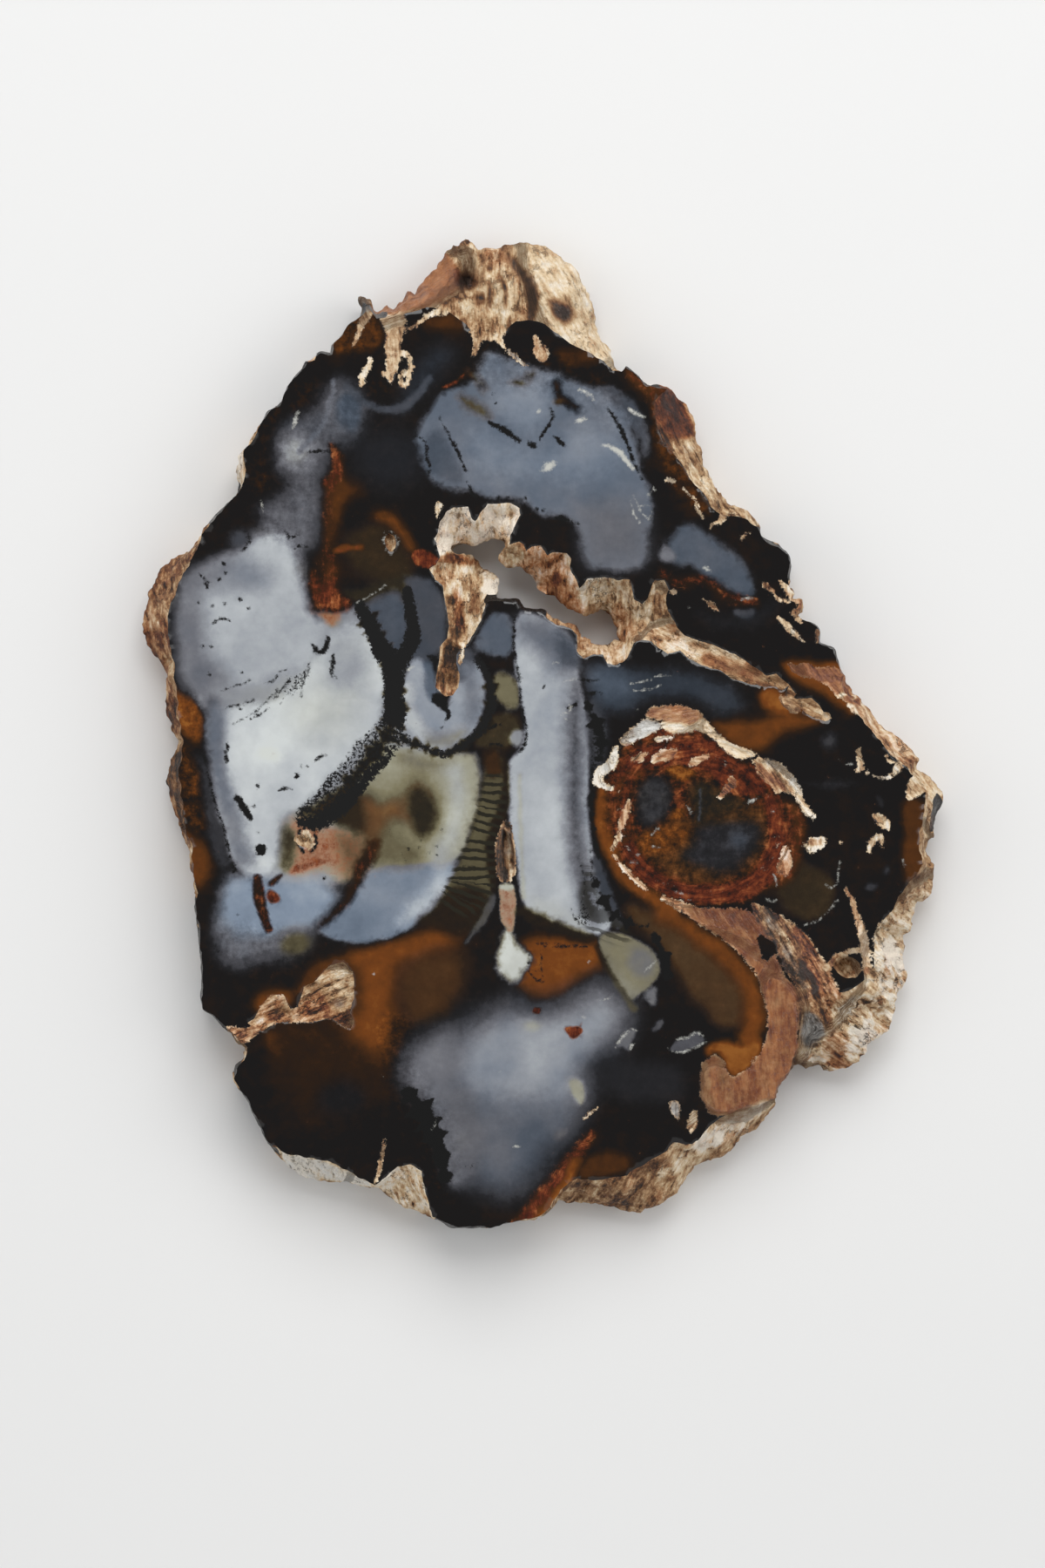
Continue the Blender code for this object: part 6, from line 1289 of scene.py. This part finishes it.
class Wiring:
    """Adds nodes to a shader tree by short calls that return the new node's output socket."""

    def __init__(self, tree: bpy.types.NodeTree) -> None:
        """Keep the tree."""
        self.tree = tree

    def add(self, kind: str, inputs: dict | None = None, **settings) -> bpy.types.Node:
        """Add a node, set its properties and fill its inputs with values or links."""
        node = self.tree.nodes.new(kind)
        for name, value in settings.items():
            setattr(node, name, value)
        for key, value in (inputs or {}).items():
            if isinstance(value, Socket):
                self.tree.links.new(value, node.inputs[key])
            else:
                node.inputs[key].default_value = value
        return node

    def maths(self, operation: str, *values, clamp: bool = False) -> Socket:
        """Add a Math node."""
        node = self.add("ShaderNodeMath", dict(enumerate(values)), operation=operation, use_clamp=clamp)
        return node.outputs[0]

    def plus(self, value, more) -> Socket:
        """Add two values."""
        return self.maths("ADD", value, more)

    def times(self, value, factor, clamp: bool = False) -> Socket:
        """Multiply two values."""
        return self.maths("MULTIPLY", value, factor, clamp=clamp)

    def scaled(self, value, factor, more, clamp: bool = False) -> Socket:
        """Multiply two values and add a third."""
        return self.maths("MULTIPLY_ADD", value, factor, more, clamp=clamp)

    def rise(self, value, low: float, high: float, out_low: float = 0.0, out_high: float = 1.0) -> Socket:
        """Map a value smoothly from one range to another."""
        inputs = {"Value": value, "From Min": low, "From Max": high, "To Min": out_low, "To Max": out_high}
        return self.add("ShaderNodeMapRange", inputs, interpolation_type="SMOOTHSTEP").outputs[0]

    def attribute(self, name: Field) -> Socket:
        """Read one of the stone's fields."""
        return self.add("ShaderNodeAttribute", attribute_name=name.value).outputs["Fac"]

    def noise(self, place, size: float, detail: float, roughness: float, stretch=(1, 1, 1)) -> Socket:
        """Add noise whose lumps are about size millimetres, shifted to run from about -0.5 to 0.5."""
        scaled = self.add("ShaderNodeVectorMath", {0: place, 1: stretch}, operation="MULTIPLY").outputs[0]
        inputs = {"Vector": scaled, "Scale": 1.0 / (size * MILLIMETRE), "Detail": detail,
                  "Roughness": roughness}
        made = self.add("ShaderNodeTexNoise", inputs).outputs["Fac"]
        return self.maths("SUBTRACT", made, 0.5)

    def blend(self, share, under, over) -> Socket:
        """Lay one colour over another."""
        node = self.add("ShaderNodeMix", data_type="RGBA")
        for index, value in ((0, share), (6, under), (7, over)):
            if isinstance(value, Socket):
                self.tree.links.new(value, node.inputs[index])
            else:
                node.inputs[index].default_value = (*value, 1.0) if index else value
        return node.outputs[2]

    def ramp(self, value, stops: tuple[tuple[float, Colour], ...]) -> Socket:
        """Turn a value from 0 to 1 into a colour."""
        node = self.add("ShaderNodeValToRGB", {0: value})
        elements = node.color_ramp.elements
        while len(elements) < len(stops):
            elements.new(0.5)
        for element, (place, colour) in zip(elements, stops):
            element.position = place
            element.color = (*colour, 1.0)
        return node.outputs[0]


MILK_SCALE = 1.4   # the density that the ramps' right end stands for

BLUE_STOPS = (
    (0.0, (0.008, 0.008, 0.010)), (0.18, (0.015, 0.019, 0.026)), (0.36, (0.046, 0.060, 0.082)),
    (0.54, (0.108, 0.138, 0.184)), (0.72, (0.215, 0.268, 0.345)), (1.0, (0.480, 0.560, 0.640)))
LILAC_STOPS = (
    (0.0, (0.008, 0.008, 0.009)), (0.18, (0.018, 0.018, 0.021)), (0.36, (0.062, 0.062, 0.071)),
    (0.54, (0.150, 0.153, 0.173)), (0.72, (0.285, 0.302, 0.330)), (1.0, (0.600, 0.635, 0.655)))
CREAM_STOPS = (
    (0.0, (0.010, 0.008, 0.005)), (0.18, (0.028, 0.022, 0.011)), (0.36, (0.085, 0.072, 0.038)),
    (0.54, (0.200, 0.180, 0.108)), (0.72, (0.345, 0.338, 0.258)), (1.0, (0.620, 0.645, 0.610)))
AMBER_STOPS = (
    (0.0, (0.006, 0.005, 0.005)), (0.3, (0.022, 0.009, 0.003)), (0.6, (0.075, 0.024, 0.004)),
    (0.85, (0.160, 0.045, 0.006)), (1.0, (0.260, 0.090, 0.015)))
GREY_CRUST = (
    (0.0, (0.700, 0.690, 0.660)), (0.25, (0.440, 0.420, 0.390)), (0.5, (0.230, 0.215, 0.200)),
    (0.8, (0.070, 0.060, 0.052)), (1.0, (0.022, 0.018, 0.015)))
TAN_CRUST = (
    (0.0, (0.860, 0.780, 0.660)), (0.25, (0.720, 0.560, 0.360)), (0.5, (0.430, 0.260, 0.130)),
    (0.75, (0.180, 0.078, 0.028)), (1.0, (0.028, 0.016, 0.010)))
RED_CRUST = (
    (0.0, (0.840, 0.690, 0.580)), (0.25, (0.640, 0.380, 0.220)), (0.5, (0.380, 0.150, 0.052)),
    (0.75, (0.150, 0.040, 0.014)), (1.0, (0.032, 0.011, 0.008)))
RUST_STOPS = (
    (0.0, (0.020, 0.007, 0.004)), (0.35, (0.075, 0.014, 0.006)), (0.6, (0.170, 0.036, 0.012)),
    (0.85, (0.330, 0.110, 0.035)), (1.0, (0.480, 0.220, 0.110)))
PEACH = (0.390, 0.145, 0.070)
BAR_COLOUR = (0.018, 0.016, 0.010)
DUST_COLOUR = (0.010, 0.010, 0.010)
INK_COLOUR = (0.007, 0.007, 0.007)
# pale marks, and painted glints
PALE_AND_GLINT_COLOUR = (0.52, 0.52, 0.48)
# painted shade of the crust, in its crevices, pores and hollows
PAINTED_SHADE_COLOUR = (0.022, 0.012, 0.007)


class StoneColour:
    """The shader group that turns the stone's fields into colour and masks."""

    NAME = "stone_colour"

    def build(self) -> bpy.types.NodeTree:
        """Make the group: inputs are the place and Rough, outputs are Colour, Crust and Relief."""
        tree = bpy.data.node_groups.new(self.NAME, "ShaderNodeTree")
        tree.interface.new_socket("Place", in_out="INPUT", socket_type="NodeSocketVector")
        tree.interface.new_socket("Rough", in_out="INPUT", socket_type="NodeSocketFloat")
        tree.interface.new_socket("Colour", in_out="OUTPUT", socket_type="NodeSocketColor")
        for name in ("Crust", "Relief"):
            tree.interface.new_socket(name, in_out="OUTPUT", socket_type="NodeSocketFloat")
        wires = Wiring(tree)
        given = wires.add("NodeGroupInput").outputs
        place = given["Place"]
        self.veil = wires.noise(place, 7.0, 3.0, 0.5)
        self.cloud = wires.noise(place, 2.2, 5.0, 0.62)
        self.torn = wires.noise(place, 1.1, 4.0, 0.75)
        self.speck = wires.noise(place, 0.45, 3.0, 0.7)
        depth = wires.add("ShaderNodeSeparateXYZ", {0: place}).outputs["Z"]
        lie = wires.add("ShaderNodeCombineXYZ", {0: wires.attribute(Field.ACROSS),
                        1: wires.attribute(Field.ALONG), 2: depth}).outputs[0]
        self.strands = wires.noise(lie, 0.75, 4.0, 0.62, (1.0, 0.2, 0.35))
        self.flakes = wires.noise(lie, 2.2, 5.0, 0.72, (1.0, 0.55, 0.5))
        colour = self.agate(wires)
        colour = self.stains(wires, colour, place)
        rag = wires.plus(wires.times(self.torn, 0.9), wires.times(self.speck, 0.8))
        ink = wires.rise(wires.plus(wires.attribute(Field.INK), rag), 0.12, -0.22)
        colour = wires.blend(ink, colour, INK_COLOUR)
        # Pale marks, among them the knot's painted glints, go pale grey
        chalk = wires.rise(wires.plus(wires.attribute(Field.CHALK), rag), 0.12, -0.38)
        colour = wires.blend(chalk, colour, PALE_AND_GLINT_COLOUR)
        wall = wires.times(wires.scaled(wires.attribute(Field.BARE), 8.0, -4.0), given["Rough"])
        beyond = wires.plus(wires.plus(wires.attribute(Field.CRUST), wall), wires.times(rag, 1.3))
        crowd = wires.scaled(given["Rough"], 0.36, wires.attribute(Field.FLECKS))
        grains = wires.noise(place, 1.0, 4.0, 0.8, (1.0, 1.0, 0.5))
        crumbs = wires.scaled(crowd, -0.5, wires.maths("SUBTRACT", 0.55, grains))
        crumbs = wires.maths("SUBTRACT", crumbs, 0.12)
        crusted = wires.rise(wires.maths("MINIMUM", beyond, crumbs), 0.09, -0.07)
        earthy, relief = self.crust(wires)
        colour = wires.blend(crusted, colour, earthy)
        dull = wires.times(crusted, wires.rise(wires.attribute(Field.FEATHER), 0.2, 0.9, 0.25, 1.0))
        wires.add("NodeGroupOutput", {"Colour": colour, "Crust": dull, "Relief": relief})
        return tree

    def agate(self, wires: Wiring) -> Socket:
        """Lay milk over the clear stone, with torn edges and a slow change of tone inside."""
        shaken = wires.scaled(wires.scaled(self.torn, 1.2, self.cloud),
                              wires.scaled(wires.attribute(Field.RAG), 0.85, 0.07),
                              wires.attribute(Field.MILK))
        shaken = wires.scaled(wires.times(self.veil, shaken), 0.45, shaken)
        stirred = wires.times(wires.attribute(Field.STIR), wires.plus(self.torn, self.cloud))
        shaken = wires.scaled(wires.times(stirred, wires.attribute(Field.MILK)), 0.8, shaken)
        glow = wires.scaled(wires.scaled(self.veil, 0.6, self.cloud), 0.45,
                            wires.scaled(stirred, 1.5, wires.attribute(Field.AMBER)), clamp=True)
        thick = wires.maths("DIVIDE", wires.maths("MAXIMUM", shaken, wires.times(glow, 0.45)),
                            MILK_SCALE, clamp=True)
        warmth = wires.scaled(self.veil, 1.1, wires.attribute(Field.WARMTH))
        blue, lilac, cream = (wires.ramp(thick, stops) for stops in (BLUE_STOPS, LILAC_STOPS, CREAM_STOPS))
        cool = wires.blend(wires.rise(warmth, -1.0, 0.0), blue, lilac)
        milky = wires.blend(wires.rise(warmth, 0.0, 1.0), cool, cream)
        clear = wires.ramp(glow, AMBER_STOPS)
        over = wires.maths("DIVIDE", wires.maths("SUBTRACT", shaken, 0.03),
                           wires.scaled(wires.attribute(Field.AMBER), 0.6, 0.27), clamp=True)
        return wires.blend(over, clear, milky)

    def stains(self, wires: Wiring, colour, place) -> Socket:
        """Lay the comb's bars, the rust and the black dendrite dust over the agate."""
        turns = wires.scaled(self.cloud, 0.9, wires.attribute(Field.PHASE))
        bars = wires.maths("SINE", wires.times(turns, 2.0 * math.pi))
        comb = wires.times(wires.rise(bars, -0.1, 0.55), wires.attribute(Field.COMB), clamp=True)
        colour = wires.blend(comb, colour, BAR_COLOUR)
        milky = wires.rise(wires.attribute(Field.MILK), 0.2, 0.8)
        blush = wires.rise(wires.scaled(self.torn, 0.5, wires.attribute(Field.RUST)), 0.05, 0.55, 0.0, 0.85)
        colour = wires.blend(wires.times(blush, milky), colour, PEACH)
        broken = wires.scaled(self.torn, 1.4, wires.scaled(self.strands, 0.7, wires.attribute(Field.RUST)))
        depth = wires.scaled(self.strands, 1.3, wires.scaled(self.speck, 0.5, 0.45))
        depth = wires.scaled(self.cloud, 1.5, depth, clamp=True)
        colour = wires.blend(wires.rise(broken, 0.25, 0.80), colour, wires.ramp(depth, RUST_STOPS))
        grains = wires.noise(place, 0.42, 3.0, 0.8)
        soot = wires.scaled(wires.attribute(Field.SOOT), 0.74, wires.maths("SUBTRACT", grains, 0.46))
        return wires.blend(wires.rise(soot, -0.05, 0.05), colour, DUST_COLOUR)

    def crust(self, wires: Wiring) -> tuple[Socket, Socket]:
        """Colour the crust by tint and hue, with black-brown painted shade in its pores, cracks and hollows,
        and work out its fine relief.
        """
        feather = wires.attribute(Field.FEATHER)
        patchy = wires.scaled(self.cloud, 0.8, wires.times(self.veil, 0.9))
        uneven = wires.scaled(self.flakes, 1.2, wires.scaled(self.speck, 0.5, patchy))
        # Where the strands run deep the relief is low and the tint darker: painted shade in the grooves,
        # over the crust's own uneven colour
        uneven = wires.scaled(self.strands, 1.4, uneven)
        tint = wires.scaled(uneven, feather, wires.attribute(Field.TINT), clamp=True)
        hue = wires.scaled(self.cloud, 1.8, wires.attribute(Field.HUE))
        grey, tan, red = (wires.ramp(tint, stops) for stops in (GREY_CRUST, TAN_CRUST, RED_CRUST))
        warm = wires.blend(wires.rise(hue, 0.0, 1.0), tan, red)
        earthy = wires.blend(wires.rise(hue, -1.0, 0.0), grey, warm)
        # Cracks and pores, which the relief below sinks, get painted shade as crevices
        crack = wires.times(wires.rise(wires.maths("ABSOLUTE", self.flakes), 0.025, 0.0),
                            wires.rise(self.cloud, -0.02, 0.10, 0.0, 0.8))
        pores = wires.rise(self.strands, 0.11, 0.22, 0.0, 0.9)
        dark = wires.times(wires.maths("MAXIMUM", crack, pores), feather, clamp=True)
        # Painted shade: the crevices and the deep hollows turn black-brown
        shade = wires.maths("MAXIMUM", wires.times(dark, 0.85),
                            wires.rise(wires.attribute(Field.HOLLOW), 0.55, 0.95, 0.0, 0.85))
        relief = wires.scaled(self.speck, 0.3, wires.times(self.strands, -1.2))
        relief = wires.scaled(self.flakes, 1.3, relief)
        relief = wires.maths("SUBTRACT", relief, wires.times(dark, 0.5))
        return wires.blend(shade, earthy, PAINTED_SHADE_COLOUR), relief


@dataclass(frozen=True)
class Finish:
    """One finish of the stone. Each names its material and dresses a Principled BSDF."""

    name: str
    rough: float = 0.0

    def material(self, group: bpy.types.NodeTree) -> bpy.types.Material:
        """Make the material and wire the shared colours into it."""
        made = bpy.data.materials.new(self.name)
        made.use_nodes = True
        wires = Wiring(made.node_tree)
        shader = made.node_tree.nodes["Principled BSDF"]
        place = wires.add("ShaderNodeTexCoord").outputs["Object"]
        stone = wires.add("ShaderNodeGroup", node_tree=group)
        made.node_tree.links.new(place, stone.inputs["Place"])
        stone.inputs["Rough"].default_value = self.rough
        made.node_tree.links.new(stone.outputs["Colour"], shader.inputs["Base Color"])
        self.dress(wires, shader, place, stone)
        return made

    def dress(self, wires: Wiring, shader, place, stone) -> None:
        """Set the roughness, the gloss and the fine relief."""
        raise NotImplementedError


@dataclass(frozen=True)
class Polished(Finish):
    """The mirror-like face, dull where crust or open cracks meet it."""

    gloss: float = 0.10
    dull: float = 0.62

    def dress(self, wires: Wiring, shader, place, stone) -> None:
        """Blend the roughness from gloss to dull by the crust, and roughen the crust's height."""
        wires.tree.links.new(wires.rise(stone.outputs["Crust"], 0.0, 1.0, self.gloss, self.dull),
                             shader.inputs["Roughness"])
        shader.inputs["IOR"].default_value = 1.54
        height = wires.times(stone.outputs["Relief"], stone.outputs["Crust"])
        bump = wires.add("ShaderNodeBump", {"Strength": 0.8, "Distance": 0.0005, "Height": height})
        wires.tree.links.new(bump.outputs[0], shader.inputs["Normal"])


@dataclass(frozen=True)
class Rind(Finish):
    """The rough walls: porous crust, and glassy chips where the agate is bare."""

    porous: float = 0.85
    glassy: float = 0.30

    def dress(self, wires: Wiring, shader, place, stone) -> None:
        """Blend the roughness by the crust, with fibres and pores in the height."""
        wires.tree.links.new(wires.rise(stone.outputs["Crust"], 0.0, 1.0, self.glassy, self.porous),
                             shader.inputs["Roughness"])
        height = stone.outputs["Relief"]
        bump = wires.add("ShaderNodeBump", {"Strength": 0.9, "Distance": 0.0006, "Height": height})
        wires.tree.links.new(bump.outputs[0], shader.inputs["Normal"])


@dataclass(frozen=True)
class Sawn(Finish):
    """The back, left as it came off the saw: matt, with faint curved saw lines."""

    matt: float = 0.5

    def dress(self, wires: Wiring, shader, place, stone) -> None:
        """Keep the roughness nearly even and cut faint arcs, rings round a point far to one side."""
        shader.inputs["Roughness"].default_value = self.matt
        centre = wires.add("ShaderNodeMapping", {"Vector": place, "Location": (0.30, -0.05, 0.0)}).outputs[0]
        inputs = {"Vector": centre, "Scale": 420.0, "Distortion": 1.2, "Detail": 2.0, "Detail Scale": 0.8}
        rings = wires.add("ShaderNodeTexWave", inputs, wave_type="RINGS", rings_direction="Z").outputs["Fac"]
        bump = wires.add("ShaderNodeBump", {"Strength": 0.25, "Distance": 0.0001, "Height": rings})
        wires.tree.links.new(bump.outputs[0], shader.inputs["Normal"])


# The finished pieces

def placed(name: str, data: bpy.types.ID) -> bpy.types.Object:
    """Put a new object into the scene."""
    made = bpy.data.objects.new(name, data)
    bpy.context.scene.collection.objects.link(made)
    return made


@dataclass
class Slab:
    """The whole stone: its surface, its fields and its three finishes."""

    surface: StoneSurface = field(default_factory=StoneSurface)
    smooth_angle: float = math.radians(60.0)

    def build(self) -> bpy.types.Object:
        """Make the stone's mesh and give it its fields."""
        points, triangles, finish, fields = self.surface.build()
        mesh = bpy.data.meshes.new("petrified_wood")
        mesh.from_pydata((points * MILLIMETRE).tolist(), [], triangles.tolist())
        mesh.polygons.foreach_set("material_index", finish.astype(np.int32))
        mesh.validate()
        shaped = bmesh.new()
        shaped.from_mesh(mesh)
        bmesh.ops.recalc_face_normals(shaped, faces=shaped.faces)
        open_edges = sum(1 for edge in shaped.edges if len(edge.link_faces) != 2)
        shaped.to_mesh(mesh)
        shaped.free()
        mesh.shade_smooth()
        mesh.set_sharp_from_angle(angle=self.smooth_angle)
        for name, values in fields.items():
            store = mesh.attributes.new(name.value, "FLOAT", "POINT")
            store.data.foreach_set("value", values.astype(np.float32))
        stone = placed("stone", mesh)
        LOG.info("stone: %d points, %d triangles, %d open edges", len(points), len(triangles), open_edges)
        return stone

    def dress(self, stone: bpy.types.Object) -> None:
        """Give the polished face, the walls and the back their finishes."""
        group = StoneColour().build()
        for finish in (Polished("polished_face"), Rind("rough_rind", 1.0), Sawn("sawn_back")):
            stone.data.materials.append(finish.material(group))


@dataclass
class Studio:
    """The pale floor, the soft lights and the camera straight above."""

    floor_half: float = 1.2
    floor_colour: Colour = (0.80, 0.80, 0.795)
    camera_height: float = 1.0
    picture_height: float = 0.225
    picture_centre: tuple[float, float] = (-0.0029, -0.0072)
    face_height: float = 0.011
    sensor: float = 36.0
    lamp_size: float = 0.9
    top_power: float = 8.4
    left_power: float = 2.3
    right_power: float = 4.0
    surround: float = 0.42       # light from low down, all round
    canopy: float = 0.56         # light from high up, all round
    overhead: float = 0.14       # light from straight above, where the polish mirrors it

    def floor(self) -> bpy.types.Object:
        """Lay the floor just under the slab's back."""
        half = self.floor_half
        mesh = bpy.data.meshes.new("floor")
        corners = [(-half, -half, 0), (half, -half, 0), (half, half, 0), (-half, half, 0)]
        mesh.from_pydata(corners, [], [(0, 1, 2, 3)])
        plane = placed("floor", mesh)
        made = bpy.data.materials.new("pale_floor")
        made.use_nodes = True
        shader = made.node_tree.nodes["Principled BSDF"]
        shader.inputs["Base Color"].default_value = (*self.floor_colour, 1.0)
        shader.inputs["Roughness"].default_value = 0.9
        shader.inputs["Specular IOR Level"].default_value = 0.1
        mesh.materials.append(made)
        return plane

    def lamp(self, name: str, place: tuple[float, float, float], power: float) -> None:
        """Hang a square soft light that faces the slab."""
        data = bpy.data.lights.new(name, "AREA")
        data.shape = "SQUARE"
        data.size = self.lamp_size
        data.energy = power
        lamp = placed(name, data)
        lamp.location = place
        lamp.rotation_euler = (-lamp.location).to_track_quat("-Z", "Y").to_euler()

    def lights(self) -> None:
        """Set the lamps round the slab and a dim even surround."""
        self.lamp("window_top", (0.05, 0.75, 0.85), self.top_power)
        self.lamp("window_left", (-1.1, 0.1, 0.9), self.left_power)
        self.lamp("window_right", (1.1, 0.2, 0.9), self.right_power)
        world = bpy.data.worlds.new("surround")
        bpy.context.scene.world = world
        world.use_nodes = True
        wires = Wiring(world.node_tree)
        way = wires.add("ShaderNodeTexCoord").outputs["Generated"]
        height = wires.add("ShaderNodeSeparateXYZ", {0: way}).outputs["Z"]
        low = wires.rise(height, 0.1, 0.75, self.surround, self.canopy)
        strength = wires.maths("MINIMUM", low, wires.rise(height, 0.92, 0.985, self.canopy, self.overhead))
        world.node_tree.links.new(strength, world.node_tree.nodes["Background"].inputs["Strength"])
        world.node_tree.nodes["Background"].inputs["Color"].default_value = (1.0, 1.0, 1.0, 1.0)
        bpy.context.scene.view_settings.view_transform = "Standard"

    def camera(self) -> None:
        """Look straight down, with the picture's height fixed at the polished face."""
        data = bpy.data.cameras.new("camera")
        data.sensor_fit = "VERTICAL"
        data.sensor_height = self.sensor
        data.lens = self.sensor * self.camera_height / self.picture_height
        camera = placed("camera", data)
        camera.location = (*self.picture_centre, self.camera_height + self.face_height)
        bpy.context.scene.camera = camera


def main() -> None:
    """Build the stone in place of its solid, then the studio round it."""
    logging.basicConfig(level=logging.INFO, format="%(message)s")
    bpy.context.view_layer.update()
    slab = Slab()
    stone = slab.build()
    slab.dress(stone)
    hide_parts(NODE)
    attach(stone, "root")
    studio = Studio()
    studio.floor()
    studio.lights()
    studio.camera()


if __name__ == "__main__":
    main()
